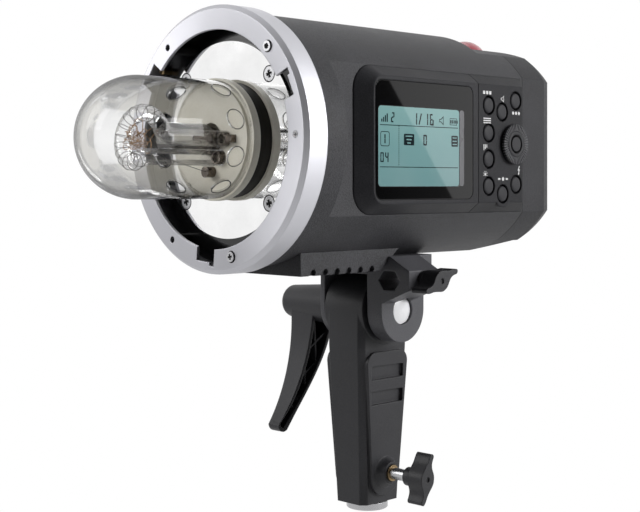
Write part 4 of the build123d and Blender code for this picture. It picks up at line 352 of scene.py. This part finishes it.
moulded("body_plastic", srgb(62, 62, 65), gloss=0.22, **SHELL)
moulded("cap_plastic", srgb(53, 53, 56), gloss=0.18, **SHELL)
moulded("panel_plastic", srgb(48, 48, 51), **PANEL)
moulded("grip_plastic", srgb(49, 49, 52), **GRIP)
# Black plastic of the fork bracket painted lighter: painted light from the side lamp.
moulded("clamp_plastic_painted_lighter", srgb(88, 88, 92), **GRIP)
moulded("black_plastic", srgb(30, 30, 32), rough=0.38, grain=0.15, grain_size=0.4, edge=0.6,
        tint=0.1, gloss=0.35)
moulded("keypad_plastic", srgb(40, 40, 43), **PANEL)
moulded("key_plastic", srgb(50, 50, 53), grain=0.2, grain_size=0.4, edge=0.3, tint=0.12, gloss=0.18)
moulded("dial_black", srgb(16, 16, 17), rough=0.45, gloss=0.2, **DIAL)
# Ribs of the black dial painted lighter: a painted highlight on the ribs.
moulded("dial_rib_painted_highlight", srgb(78, 78, 82), rough=0.35, gloss=0.5, **DIAL)
moulded("strip_grey", srgb(104, 104, 108), rough=0.3, grain_size=0.4, edge=0.1, tint=0.05,
        gloss=0.4)
moulded("white_print", srgb(226, 226, 226))
# Near-black for flat marks that paint the shadows round and in the screw heads.
moulded("painted_shadow_black", srgb(18, 18, 19), rough=0.6, gloss=0.1)
turned_metal("ring_metal", srgb(186, 186, 191), rough=0.44)
metal("steel", srgb(176, 176, 178), rough=0.26, edge=0.12)
metal("chrome", srgb(232, 232, 236), rough=0.1, edge=0.3, spread=0.02)
# Near-white matt plastic on the chrome tilt bolt's end: a painted reflection of the white studio.
moulded("bolt_white_painted_reflection", srgb(250, 250, 252), rough=0.25, edge=0.3, tint=0.02, gloss=0.6)
metal("brass", srgb(142, 122, 92), rough=0.32, edge=0.12)
mirror("mirror")
moulded("black_paint", srgb(12, 12, 13), rough=0.16, grain=0.05, grain_size=0.6, edge=0.2,
        tint=0.05, gloss=0.5)
ceramic("ceramic")
rubber("rubber", srgb(34, 32, 27))
clear_glass("clear_glass", rim=0.4, centre=0.97, gloss=0.45, start=0.5, shade_r=DOME_R)
clear_glass("lamp_glass", rim=0.5, centre=0.95, gloss=1.3, start=0.7)
clear_glass("tube_glass", rim=0.6, centre=0.97, gloss=0.7, start=0.75)
clear_glass("glass_lip", rim=0.25, centre=0.7, gloss=1.0, start=0.3)
glazed("screen_glass", srgb(8, 8, 9))
display("lcd")
glazed("lcd_ink", srgb(30, 42, 46))
red_lens("red_lens")
metal("copper", srgb(150, 112, 84), rough=0.35, edge=0.05)
metal("brown_wire", srgb(146, 118, 90), rough=0.3, edge=0.05)
metal("dark_wire", srgb(84, 78, 74), rough=0.35, edge=0.05)
metal("holder_metal", srgb(112, 104, 96), rough=0.26, edge=0.2)
board("board")
sleeve("capacitor_sleeve")
moulded("green_led", srgb(70, 190, 90), rough=0.2, edge=0.1, tint=0.12)

# Nodes whose finish differs from the rest of their slot
DRESSED = {"tilt_bolt": "bolt_white_painted_reflection", "fork_bracket": "clamp_plastic_painted_lighter", "rear_cap": "cap_plastic",
           "keypad_plate": "keypad_plastic", "stand_bush": "steel"}
for part in frame["record"]["subparts"]:
    node = nodes[part["node"]]
    node.data.materials.clear()
    node.data.materials.append(MATERIALS[DRESSED.get(part["node"], part["material_slot"])])
    for polygon in node.data.polygons:
        polygon.material_index = 0

# ---- Mesh helpers ----


def link_new(name, data):
    """New object with its data, in the scene."""
    made = bpy.data.objects.new(name, data)
    bpy.context.scene.collection.objects.link(made)
    return made


def link_mesh(name, mesh, material, body):
    """Adds a mesh in row coordinates as a piece of a body."""
    piece = link_new(name, mesh)
    mesh.materials.clear()
    mesh.materials.append(MATERIALS[material])
    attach(piece, body)
    return piece


def smooth(mesh):
    """Smooth shading for the whole mesh."""
    for polygon in mesh.polygons:
        polygon.use_smooth = True
    return mesh


def curve_mesh(name, curve, place):
    """Mesh of a curve, moved to its place."""
    holder = link_new(name, curve)
    mesh = bpy.data.meshes.new_from_object(holder)
    bpy.data.objects.remove(holder)
    bpy.data.curves.remove(curve)
    mesh.transform(place)
    mesh.name = name
    return mesh


def plate(name, outlines, place, thick, edge=0.0):
    """Flat plate of closed outlines in mm, its back on the place's plane, with rounded edges.

    An outline inside another is a hole."""
    curve = bpy.data.curves.new(name, "CURVE")
    curve.dimensions = "2D"
    curve.fill_mode = "BOTH"
    curve.extrude = thick / 2 - edge
    curve.bevel_depth = edge
    curve.bevel_resolution = 2
    curve.offset = -edge
    for outline in outlines:
        spline = curve.splines.new("POLY")
        spline.points.add(len(outline) - 1)
        for point, (x, y) in zip(spline.points, outline):
            point.co = (x, y, 0, 1)
        spline.use_cyclic_u = True
    return curve_mesh(name, curve, place @ Matrix.Translation((0, 0, thick / 2)))


def wire(name, paths, radius, place, closed=False, sides=1):
    """Round wires along smooth paths of points; more sides make them rounder."""
    curve = bpy.data.curves.new(name, "CURVE")
    curve.dimensions = "3D"
    curve.bevel_depth = radius
    curve.bevel_resolution = sides
    curve.use_fill_caps = True
    for path in paths:
        spline = curve.splines.new("NURBS")
        spline.points.add(len(path) - 1)
        for point, at in zip(spline.points, path):
            point.co = (*at, 1)
        spline.order_u = 3
        spline.use_cyclic_u = closed
        spline.use_endpoint_u = not closed
        spline.resolution_u = 6
    return smooth(curve_mesh(name, curve, place))


def lathe(name, profile, place, steps=64):
    """Solid of revolution about the place's z axis from (radius, z) points in mm."""
    shape = bmesh.new()
    ring = [shape.verts.new((radius, 0, z)) for radius, z in profile]
    edges = [shape.edges.new(pair) for pair in zip(ring, ring[1:])]
    bmesh.ops.spin(shape, geom=ring + edges, cent=(0, 0, 0), axis=(0, 0, 1), angle=2 * math.pi,
                   steps=steps)
    bmesh.ops.remove_doubles(shape, verts=shape.verts, dist=0.001)
    bmesh.ops.recalc_face_normals(shape, faces=shape.faces)
    mesh = bpy.data.meshes.new(name)
    shape.to_mesh(mesh)
    shape.free()
    mesh.transform(place)
    return smooth(mesh)


def side_place(x, depth=0.0, height=0.0):
    """Plane on the control side at x, in metres, with its origin at a depth and height in mm: local
    x is depth, y is height and z points outwards, in mm."""
    turn = Matrix(((0, 0, 1, 0), (1, 0, 0, 0), (0, 1, 0, 0), (0, 0, 0, 1)))
    at = Vector((x, *head(0, depth, height)[1:]))
    return Matrix.Translation(at) @ turn @ Matrix.Scale(MM, 4)


def front_place(depth):
    """Plane across the head's axis, seen from its front: x to the right, y up, z forwards; mm."""
    turn = Matrix(((1, 0, 0, 0), (0, 0, -1, 0), (0, 1, 0, 0), (0, 0, 0, 1)))
    return Matrix.Translation(head(0, depth, 0)) @ turn @ Matrix.Scale(MM, 4)


# ---- Flat outlines, in mm ----


def turned(points, x, y, lean):
    """Points about the origin, leant by an angle in degrees and moved to a place."""
    cosine, sine = math.cos(math.radians(lean)), math.sin(math.radians(lean))
    return [(x + a * cosine - b * sine, y + a * sine + b * cosine) for a, b in points]


def placed(points, x, y, size):
    """Points drawn at a unit size, scaled and moved to a place."""
    return [(x + a * size, y + b * size) for a, b in points]


def on_circle(degrees, radius):
    """Point on a circle about the origin."""
    turn = math.radians(degrees)
    return radius * math.cos(turn), radius * math.sin(turn)


def circle(x, y, radius, points=32):
    """Regular outline of a round shape."""
    turns = [2 * math.pi * step / points for step in range(points)]
    return [(x + radius * math.cos(turn), y + radius * math.sin(turn)) for turn in turns]


def bar(x, y, width, height, corner=0.0, lean=0.0):
    """Rectangle about its centre, with rounded corners and a lean in degrees."""
    points = []
    for side_x, side_y, start in ((1, 1, 0), (-1, 1, 90), (-1, -1, 180), (1, -1, 270)):
        for step in range(7 if corner else 1):
            a, b = on_circle(start + 15 * step, corner)
            points.append((side_x * (width / 2 - corner) + a, side_y * (height / 2 - corner) + b))
    return turned(points, x, y, lean)


# Strokes that each figure lights: a to f clockwise from the top, g across the middle
SEGMENTS = {"0": "abcdef", "1": "bc", "2": "abged", "4": "fgbc", "6": "afgedc"}


def number(text, x, y, height, stroke):
    """Seven-segment figures from a left edge; a slash is allowed."""
    outlines = []
    width = height * 0.5
    level = width - stroke * 2.1          # length of the level strokes
    upright = height / 2 - stroke * 0.2   # length of the upright strokes
    for figure in text:
        if figure == "/":
            outlines.append(bar(x + width * 0.35, y, stroke, height, lean=-18))
        else:
            left, right = x + stroke / 2, x + width - stroke / 2
            top = height / 2 - stroke / 2
            places = {
                "a": (x + width / 2, y + top, level, stroke),
                "g": (x + width / 2, y, level, stroke),
                "d": (x + width / 2, y - top, level, stroke),
                "f": (left, y + height / 4, stroke, upright),
                "b": (right, y + height / 4, stroke, upright),
                "e": (left, y - height / 4, stroke, upright),
                "c": (right, y - height / 4, stroke, upright),
            }
            outlines += [bar(*places[segment]) for segment in SEGMENTS[figure]]
        x += width + stroke * 1.6
    return outlines


def spark(x, y, size):
    """Small flash pictogram: a zigzag arrow."""
    points = ((0.1, 1.0), (-0.42, 0.05), (-0.04, 0.05), (-0.22, -0.6), (-0.4, -0.6), (0.0, -1.0),
              (0.22, -0.45), (0.06, -0.5), (0.36, 0.3), (0.02, 0.3), (0.34, 1.0))
    return placed(points, x, y, size)


def lamp_mark(x, y, size):
    """Lamp pictogram: a dot with rays round its upper half."""
    outlines = [circle(x, y, size * 0.42, 20)]
    for turn in range(-20, 201, 44):
        a, b = on_circle(turn, 0.82 * size)
        outlines.append(bar(x + a, y + b, size * 0.4, size * 0.16, lean=turn))
    return outlines


def battery_mark(x, y, width, height):
    """Battery pictogram: a frame with bars and a tip."""
    line = 0.32
    outlines = [bar(x, y, width, height, 0.3), bar(x, y, width - 2 * line, height - 2 * line)]
    outlines.append(bar(x + width / 2 + 0.35, y, 0.5, height * 0.45))
    for step in range(4):
        outlines.append(bar(x - width * 0.33 + step * width * 0.22, y, width * 0.14, height * 0.5))
    return outlines


def horn_mark(x, y, size):
    """Beeper pictogram: a box with an open horn."""
    outer = [(-0.9, 0.35), (-0.35, 0.35), (0.5, 1.0), (0.5, -1.0), (-0.35, -0.35), (-0.9, -0.35)]
    inner = [(-0.72, 0.17), (-0.27, 0.17), (0.32, 0.66), (0.32, -0.66), (-0.27, -0.17),
             (-0.72, -0.17)]
    return [placed(points, x, y, size) for points in (outer, inner)]


# ---- Screen ----

GLASS_LOW, GLASS_HIGH = box("screen_glass")
LCD_LOW, LCD_HIGH = box("lcd_panel")
INK = 0.03                # thickness of printed marks, mm
STRIP_WIDTH = 3.6         # grey strip beside the display, mm
STRIP_OVER = 0.2          # how far the strip reaches over the display, mm
BEZEL_OVER = 0.25         # how far the black glass covers the display's edges, mm
GLASS_CORNER, LCD_CORNER = 4.0, 1.8  # mm


def linked_plate(name, outlines, place, material, thick=INK, edge=0.0, body="head"):
    """Adds a flat plate as a piece of a body."""
    return link_mesh(name, plate(name, outlines, place, thick, edge), material, body)


def make_screen():
    """Black glass with a window, and the narrow grey strip beside the window."""
    thick, width, height = (GLASS_HIGH - GLASS_LOW) / MM
    _, lcd_width, lcd_height = (LCD_HIGH - LCD_LOW) / MM
    centre = middle("screen_glass")
    _, lcd_x, lcd_y = (middle("lcd_panel") - centre) / MM
    seen_height = lcd_height - 2 * BEZEL_OVER
    at_centre = depth_of(centre.y), height_of(centre.z)
    outlines = [
        bar(0, 0, width, height, GLASS_CORNER),
        bar(lcd_x, lcd_y, lcd_width - 2 * BEZEL_OVER, seen_height, LCD_CORNER),
    ]
    back = side_place(GLASS_LOW.x, *at_centre)
    bezel = linked_plate("screen_bezel", outlines, back, "screen_glass", thick, 0.3)
    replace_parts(bezel, "screen_glass")
    strip_x = lcd_x + (lcd_width + STRIP_WIDTH) / 2 - STRIP_OVER
    strip = bar(strip_x, lcd_y, STRIP_WIDTH, seen_height, 1.5)
    linked_plate("screen_strip", [strip], side_place(GLASS_HIGH.x, *at_centre), "strip_grey")


def make_display_marks():
    """Plain figures and pictograms on the display, placed from its lower left corner in mm."""
    outlines = [
        bar(30, 28.9, 57.5, 0.36),
        bar(30, 9.3, 57.5, 0.36),
        *(bar(14.6, 10.4 + step * 0.95, 0.42, 0.5) for step in range(20)),
        *(bar(2.6 + step * 1.25, 31.0 + step * 0.42, 0.75, 1.4 + step * 0.84) for step in range(4)),
        *number("2", 9.0, 32.6, 4.8, 0.7),
        *number("1/16", 25.0, 32.4, 5.6, 0.8),
        *horn_mark(46.4, 32.2, 2.3),
        *battery_mark(55.2, 31.9, 5.6, 3.4),
        bar(4.8, 22.4, 6.4, 7.0, 1.2),
        bar(4.8, 22.4, 5.7, 6.3, 0.9),
        *number("1", 3.0, 22.4, 4.4, 0.8),
        bar(21.9, 22.4, 7.4, 5.4, 0.5),
        *(bar(21.9, 24.0 - step * 1.6, 5.0 - step * 1.2, 0.6) for step in range(3)),
        *number("0", 32.4, 22.4, 5.2, 0.8),
        bar(56.2, 22.4, 5.0, 5.4, 0.5),
        *(bar(56.2, 24.0 - step * 1.6, 3.2, 0.5) for step in range(3)),
        *number("04", 1.6, 13.8, 4.6, 0.65),
    ]
    place = side_place(LCD_HIGH.x, depth_of(LCD_LOW.y), height_of(LCD_LOW.z))
    linked_plate("display_marks", outlines, place, "lcd_ink")


# ---- Keys and dial ----

KEY_NODES = [name for name in nodes if name.startswith("key_")]
CONSOLE_X = box("keypad_plate")[1].x
KEY_FLANGE = 1.6          # width and thickness of a key's hidden flange, mm


def make_key(name):
    """Round key with a softly domed top and a flange under the plate."""
    low, high = box(name)
    centre = middle(name)
    flange = (high.y - low.y) / 2 / MM
    bottom = (low.x - CONSOLE_X) / MM
    shoulder = bottom + KEY_FLANGE
    radius = flange - KEY_FLANGE
    profile = [(0, 0.3), (radius * 0.5, 0.27), (radius * 0.8, 0.12), (radius * 0.95, -0.15),
               (radius, -0.6), (radius, shoulder), (flange, shoulder), (flange, bottom),
               (0, bottom)]
    place = side_place(CONSOLE_X, depth_of(centre.y), height_of(centre.z))
    mesh = lathe(name, profile, place, 48)
    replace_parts(link_mesh(name + "_cap", mesh, "key_plastic", name), name)


def make_key_marks():
    """White pictograms beside the keys, each placed from its own key in mm."""

    def beside(name, across, up):
        centre = middle(name)
        return depth_of(centre.y) + across, height_of(centre.z) + up

    three = (-1, 0, 1)
    x, y = beside("key_top_front", -1.4, 6.4)
    outlines = [bar(x + step * 2.5, y, 1.8, 1.7, 0.3) for step in three]
    outlines += horn_mark(*beside("key_top_mid", 0.5, 6.7), 1.8)
    x, y = beside("key_top_rear", 0.3, -6.4)
    outlines += [circle(x + step * 2.5, y, 0.9, 16) for step in three]
    x, y = beside("key_menu", -1.4, 6.2)
    outlines += [bar(x, y + step * 1.1, 6.2, 0.6) for step in three]
    x, y = beside("key_lamp", -3.0, 5.9)
    outlines += [bar(x + 0.1 + step * 1.2, y + 0.35 + step * 0.35, 0.7, 2.3 - step * 0.7)
                 for step in three]
    outlines += lamp_mark(*beside("key_low_front", -3.0, 6.0), 1.8)
    x, y = beside("key_low_mid", 0.2, 7.7)
    outlines += [bar(x - 3.2, y, 2.0, 0.9, 0.3), circle(x, y, 1.0, 16),
                 bar(x + 3.2, y, 2.0, 0.9, 0.3)]
    outlines.append(spark(*beside("key_low_rear", 2.4, 7.1), 2.4))
    linked_plate("key_marks", outlines, side_place(CONSOLE_X), "white_print")


DIAL_RIBS = 44
DIAL_FACE_SHARE = 0.66    # radius of the dial's face as a share of the dial's
DIAL_HUB_R = 6.4          # mm
DIAL_GAP = 0.75           # round the button, mm
RIB_WIDTH, RIB_TALL = 0.62, 1.5  # mm
RIB_ROOT = 1.6            # foot of the ribs below the dial's top, mm


def make_dial():
    """Dial with ribs round its rim and a plain face round the button."""
    low, high = box("dial")
    centre = middle("dial")
    at_centre = depth_of(centre.y), height_of(centre.z)
    radius = (high.y - low.y) / 2 / MM
    hole = (box("set_button")[1].y - box("set_button")[0].y) / 2 / MM + DIAL_GAP
    face = radius * DIAL_FACE_SHARE
    skirt_back = (CONSOLE_X - high.x) / MM + 0.4
    back = (low.x - high.x) / MM
    place = side_place(high.x, *at_centre)
    rim_profile = [
        (hole, -0.7), (face, -0.7), (face + 0.4, -0.75), (radius - 1.0, -0.9),
        (radius - 0.35, -1.3), (radius - 0.35, skirt_back), (DIAL_HUB_R, skirt_back),
        (DIAL_HUB_R, back), (hole, back), (hole, -0.7),
    ]
    rim = link_mesh("dial_rim", lathe("dial_rim", rim_profile, place), "dial_black", "dial_wheel")
    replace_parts(rim, "dial")
    teeth = []
    for rib in range(DIAL_RIBS):
        way = 360 * rib / DIAL_RIBS
        teeth.append(bar(*on_circle(way, (radius + face) / 2), radius - face, RIB_WIDTH, 0.2, way))
    # The ribs carry a lighter colour than the dial: a painted highlight.
    linked_plate("dial_ribs", teeth, side_place(high.x - RIB_ROOT * MM, *at_centre), "dial_rib_painted_highlight",
                 RIB_TALL, 0.12, "dial_wheel")
    inner = hole + 0.15
    ring_profile = [(inner, -0.75), (inner, -0.15), (hole + 0.5, 0.0), (face - 0.4, 0.0),
                    (face, -0.25), (face, -0.75), (inner, -0.75)]
    link_mesh("dial_face", lathe("dial_face", ring_profile, place), "key_plastic", "dial_wheel")


# ---- Lamp in its dome ----

# Flash coil, in mm: radius of its turn, radius of its tube, depth where it starts and how far it
# comes forwards over its turns
COIL_R, TUBE_R = 11.0, 3.8
COIL_START, COIL_RISE, COIL_TURNS = -37.0, -9.6, 0.86
BASE_FACE = depth_of(box("bulb_base")[0].y)
WRAPS = 15                # turns of fine wire round the tube
LOOPS = 15                # loops of wire inside the coil
LOOPS_AHEAD = 42          # their middle ahead of the ring's face, mm
WRAP_R, LEAD_R, LOOP_R = 0.13, 0.16, 0.17  # radii of the fine wires, mm
VENTS = 10                # holes round the dome's skirt
VENT_R = 4.75             # mm
VENT_AHEAD = 8.2          # middle of the vents ahead of the ring's face, mm


def coil_point(turn, lift=0.0, round_tube=0.0):
    """Point of the coil's centre line at a share of its turns, or at a lift from it at an angle
    round the tube."""
    way = 2 * math.pi * COIL_TURNS * turn
    radius = COIL_R + lift * math.cos(round_tube)
    depth = COIL_START + COIL_RISE * turn + lift * math.sin(round_tube)
    return (radius * math.cos(way), radius * math.sin(way), -depth)


def coil_path(steps=26):
    """The tube's path: a leg up from the ceramic base, the turn, and a leg down to the base."""
    path = [coil_point(step / steps) for step in range(steps + 1)]
    first, last = path[0], path[-1]
    leg_up = [(first[0], first[1], z) for z in (-BASE_FACE, 10, 20, 30, 35)]
    leg_down = [(last[0], last[1], z) for z in (43, 38, 26, 14, -BASE_FACE)]
    return leg_up + path[1:-1] + leg_down


INSIDE_SHARE = 0.8        # faces nearer the axis than this share of the radius are inside


def outer_skin(node, name, material, centre_depth):
    """New piece from the faces of a node that look away from the head's axis or, before a depth,
    from the point of the axis there."""
    outer_r = (box(node)[1].x - box(node)[0].x) / 2
    work = bmesh.new()
    work.from_mesh(nodes[node].data)
    inward = []
    for face in work.faces:
        place = face.calc_center_median()
        along = min(0.0, depth_of(place.y) - centre_depth) * MM
        away = Vector((place.x, along, place.z - HEAD_Z))
        inside = along == 0.0 and away.length < INSIDE_SHARE * outer_r
        if inside or face.normal.dot(away) < -0.2 * away.length:
            inward.append(face)
    bmesh.ops.delete(work, geom=inward, context="FACES")
    mesh = bpy.data.meshes.new(name)
    work.to_mesh(mesh)
    work.free()
    piece = link_mesh(name, smooth(mesh), material, "head")
    piece.visible_shadow = False
    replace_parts(piece, node)


def make_glass_skins():
    """Single skins of the dome and the modelling lamp, so that a look through them meets few
    surfaces."""
    dome_tip, lamp_tip = (depth_of(box(node)[0].y) for node in ("glass_dome", "modelling_lamp"))
    outer_skin("glass_dome", "dome_skin", "clear_glass", dome_tip + DOME_R / MM)
    outer_skin("modelling_lamp", "lamp_skin", "lamp_glass", lamp_tip + 1.0)


def make_flash_tube():
    """Coiled glass tube with its legs standing in the base."""
    mesh = wire("tube", [coil_path()], TUBE_R, front_place(0), sides=8)
    tube = link_mesh("flash_coil", mesh, "tube_glass", "head")
    tube.visible_shadow = False
    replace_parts(tube, "flash_tube")


def make_trigger_wires():
    """Fine trigger wire wound round the tube, its lead to the post, and the loops between."""
    axis = front_place(0)
    wraps = []
    for wrap in range(WRAPS):
        turn = (wrap + 0.5) / WRAPS
        angles = [2 * math.pi * step / 12 for step in range(12)]
        wraps.append([coil_point(turn + 0.012 * math.sin(a), TUBE_R + 0.1, a) for a in angles])
    mesh = wire("wraps", wraps, WRAP_R, axis, closed=True)
    wraps_piece = link_mesh("trigger_wraps", mesh, "dark_wire", "head")
    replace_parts(wraps_piece, "trigger_wire")
    lead = [coil_point(0.9, -TUBE_R), (4, -9, 30), (2.6, -12.5, 16), (1.4, -14.8, 5.5)]
    link_mesh("trigger_lead", wire("lead", [lead], LEAD_R, axis), "dark_wire", "head")
    draw = random.Random(7).uniform
    loops = []
    for _ in range(LOOPS):
        size = draw(2.6, 6.4)
        tilt = Matrix.Rotation(draw(0, math.pi), 3, "X") @ Matrix.Rotation(draw(0, math.pi), 3, "Z")
        centre = Vector((draw(-3, 3), draw(-5, 3), LOOPS_AHEAD + draw(-5, 5)))
        loop = []
        for step in range(14):
            way = 2 * math.pi * step / 14
            radius = size * draw(0.75, 1.2)
            point = Vector((radius * math.cos(way), radius * math.sin(way), draw(-1, 1)))
            loop.append(centre + tilt @ point)
        loops.append(loop)
    mesh = wire("loops", loops, LOOP_R, axis, closed=True)
    link_mesh("wire_loops", mesh, "brown_wire", "head")


def make_vent_lips():
    """Fire-polished lips round the dome's vents."""
    wall_r = DOME_R / MM - 0.1
    loops = []
    for vent in range(VENTS):
        loop = []
        for step in range(20):
            turn = 2 * math.pi * step / 20
            lean = math.degrees(VENT_R * math.sin(turn) / (DOME_R / MM))
            across = on_circle((vent + 0.5) * 360 / VENTS + lean, wall_r)
            loop.append((*across, VENT_AHEAD + VENT_R * math.cos(turn)))
        loops.append(loop)
    lips = wire("lips", loops, 0.24, front_place(0), closed=True, sides=2)
    link_mesh("vent_lips", lips, "glass_lip", "head").visible_shadow = False


# ---- Screw details ----

REFLECTOR_SCREW_IN = 3.4  # middle of the reflector's screws in from the end of their box, mm
RING_SCREW_PCR = 55.4     # radius on which the ring's screws sit, mm
RING_SCREW_ANGLES = (47.0, 284.0)


def cross(x, y, size, width, lean):
    """Cross outline about its centre."""
    s, w = size / 2, width / 2
    points = [(w, s), (-w, s), (-w, w), (-s, w), (-s, -w), (-w, -w),
              (-w, -s), (w, -s), (w, -w), (s, -w), (s, w), (w, w)]
    return turned(points, x, y, lean)


def make_screw_marks(name, places, well, drive, lean_by_place, well_depth, cross_depth):
    """Painted shadows on screw heads: flat dark rings round them and dark cross shapes in them.

    well gives the outer and inner radius, drive the size and width of the cross; mm."""
    painted_well_shadows = [circle(x, y, radius) for x, y in places for radius in well]
    painted_drive_shadows = [cross(x, y, *drive, lean) for (x, y), lean in zip(places, lean_by_place)]
    # Each outline becomes a flat dark plate: painted shadow.
    for kind, outlines, depth in (("painted_well_shadows", painted_well_shadows, well_depth), ("painted_drive_shadows", painted_drive_shadows, cross_depth)):
        linked_plate(name + "_" + kind, outlines, front_place(depth), "painted_shadow_black")


def make_screw_details():
    """Painted shadows of the four reflector screws and the two ring screws: dark rings round
    their heads and dark cross shapes in them.
    """
    low, high = box("reflector_screws")
    at = (high.x - low.x) / 2 / MM - REFLECTOR_SCREW_IN
    face = depth_of(box("reflector_plate")[0].y)
    corners = [(x, y) for x in (-at, at) for y in (-at, at)]
    make_screw_marks("reflector_screw", corners, (3.9, 3.42), (3.6, 1.0), [24] * 4, face, face)
    places = [on_circle(angle, RING_SCREW_PCR) for angle in RING_SCREW_ANGLES]
    proud = depth_of(box("ring_screws")[0].y)
    make_screw_marks("ring_screw", places, (2.85, 2.42), (2.7, 0.85), RING_SCREW_ANGLES, 0, proud)


# ---- Build the pieces ----

make_screen()
make_display_marks()
for key_node in KEY_NODES:
    make_key(key_node)
make_key_marks()
make_dial()
make_glass_skins()
make_flash_tube()
make_trigger_wires()
make_vent_lips()
make_screw_details()

# ---- Stage, lights and camera ----

FLOOR_DROP = 0.42                     # floor below the foot of the grip, where a stand would be, m
FLOOR_HALF = 12.0                     # half of the floor's side, m
CAMERA_PLACE = (0.4605, -0.4999, 0.1679)
CAMERA_TURN = 44.72                   # degrees
LENS = 73.4                           # mm
SENSOR = 36.0                         # mm
SHIFT_Y = -0.1134
SEEN_WHITE = ("Is Camera Ray", "Is Transmission Ray")
DARK_SIDE = (0.93, -0.37, 0.0)        # way towards the dim half of the studio
WORLD_LEVEL = 0.17                    # share of the backdrop's light that falls on things
LIT_POINT = (0, 0, 0.17)              # where the lights point


def ray_share(tree, kinds):
    """1 where the ray is one of the kinds, from a Light Path node."""
    path = add_node(tree, "LightPath")
    total = path.outputs[kinds[0]]
    for kind in kinds[1:]:
        either = {0: total, 1: path.outputs[kind]}
        total = add_node(tree, "Math", either, operation="MAXIMUM").outputs[0]
    return total


def make_world():
    """White backdrop; the studio is dimmer on the photographer's side, which shows in gloss."""
    world = bpy.data.worlds.new("studio")
    bpy.context.scene.world = world
    world.use_nodes = True
    tree = world.node_tree
    tree.nodes.clear()
    way = add_node(tree, "TexCoord").outputs["Generated"]
    turn = add_node(tree, "VectorMath", {0: way, 1: DARK_SIDE}, operation="DOT_PRODUCT")
    upness = add_node(tree, "SeparateXYZ", {0: way}).outputs["Z"]

    def fade(value, start, end, at_start, at_end):
        inputs = {"Value": value, "From Min": start, "From Max": end,
                  "To Min": at_start, "To Max": at_end}
        return add_node(tree, "MapRange", inputs).outputs["Result"]

    def backdrop(strength):
        return add_node(tree, "Background", {"Color": grey(1.0), "Strength": strength}).outputs[0]

    side = fade(turn.outputs["Value"], -0.2, 0.35, 1.0, 0.03)
    above = fade(upness, 0.4, 0.9, 0.0, 0.7)
    level = add_node(tree, "Math", {0: side, 1: above}, operation="MAXIMUM").outputs[0]
    lit_level = add_node(tree, "Math", {0: level, 1: WORLD_LEVEL}, operation="MULTIPLY").outputs[0]
    in_gloss = ray_share(tree, ("Is Glossy Ray",))
    unseen = add_node(tree, "MixShader", {0: in_gloss, 1: backdrop(lit_level), 2: backdrop(level)})
    white = ray_share(tree, SEEN_WHITE)
    final = add_node(tree, "MixShader", {0: white, 1: unseen.outputs[0], 2: backdrop(1.0)})
    output = add_node(tree, "OutputWorld")
    tree.links.new(final.outputs[0], output.inputs["Surface"])


def make_floor():
    """Floor that looks white to the camera, in gloss and through glass, and is otherwise grey."""
    mesh = bpy.data.meshes.new("floor")
    half = FLOOR_HALF
    mesh.from_pydata([(-half, -half, 0), (half, -half, 0), (half, half, 0), (-half, half, 0)], [],
                     [(0, 1, 2, 3)])
    floor = link_new("floor", mesh)
    floor.location.z = -FLOOR_DROP
    s = Shader("floor_white")
    diffuse = s.node("BsdfDiffuse", {"Color": grey(0.5)}).outputs[0]
    glow = s.node("Emission", {"Color": grey(1.0), "Strength": 1.0}).outputs[0]
    factor = ray_share(s.tree, (*SEEN_WHITE, "Is Glossy Ray"))
    s.surface(s.node("MixShader", {0: factor, 1: diffuse, 2: glow}).outputs[0])
    mesh.materials.append(MATERIALS["floor_white"])


def area_light(name, place, turn, size, power):
    """Soft rectangular light at a place; sides in metres and power in watts."""
    lamp = bpy.data.lights.new(name, "AREA")
    lamp.shape = "RECTANGLE"
    lamp.size, lamp.size_y = size
    lamp.energy = power
    holder = link_new(name, lamp)
    holder.location = place
    holder.rotation_euler = turn


def aimed_light(name, place, size, power):
    """Soft light that looks at the strobe."""
    aim = Vector(LIT_POINT) - Vector(place)
    area_light(name, place, aim.to_track_quat("-Z", "Y").to_euler(), size, power)


def make_screen_light(power):
    """Softbox behind the control side. Its edge crosses the screen's reflection on a slant, from
    near the screen's upper front corner to three quarters along its lower edge."""
    wall_x = 1.3              # where the softbox stands, metres
    width, height = 1.5, 1.1  # metres
    seen_from = Vector((2 * GLASS_HIGH.x - CAMERA_PLACE[0], CAMERA_PLACE[1], CAMERA_PLACE[2]))
    span = GLASS_HIGH - GLASS_LOW
    ends = []
    for along, up in ((0.13, 1.0), (0.78, 0.0)):
        point = Vector((GLASS_HIGH.x, GLASS_LOW.y + along * span.y, GLASS_LOW.z + up * span.z))
        ray = point - seen_from
        ends.append(seen_from + ray * ((wall_x - seen_from.x) / ray.x))
    edge = (ends[1] - ends[0]).normalized()
    outward = Vector((1, 0, 0))
    across = edge.cross(outward).normalized()
    if across.y < 0:
        across = -across
    turn = Matrix((across.cross(outward), across, outward)).transposed()
    place = (ends[0] + ends[1]) / 2 + across * height / 2
    area_light("screen_light", place, turn.to_euler(), (width, height), power)


def make_camera():
    """Level camera, shifted down."""
    data = bpy.data.cameras.new("camera")
    data.lens = LENS
    data.sensor_width = SENSOR
    data.shift_y = SHIFT_Y
    camera = link_new("camera", data)
    camera.location = CAMERA_PLACE
    camera.rotation_euler = (math.radians(90), 0, math.radians(CAMERA_TURN))
    bpy.context.scene.camera = camera


make_world()
make_floor()
make_camera()
make_screen_light(4.2)
aimed_light("side", (1.15, 0.65, 0.55), size=(0.7, 0.7), power=16)
aimed_light("top", (-0.3, 0.1, 1.2), size=(0.9, 0.7), power=1.6)
aimed_light("front", (-0.6, -1.0, 0.75), size=(0.8, 0.8), power=8)
bpy.context.scene.view_settings.view_transform = "Standard"
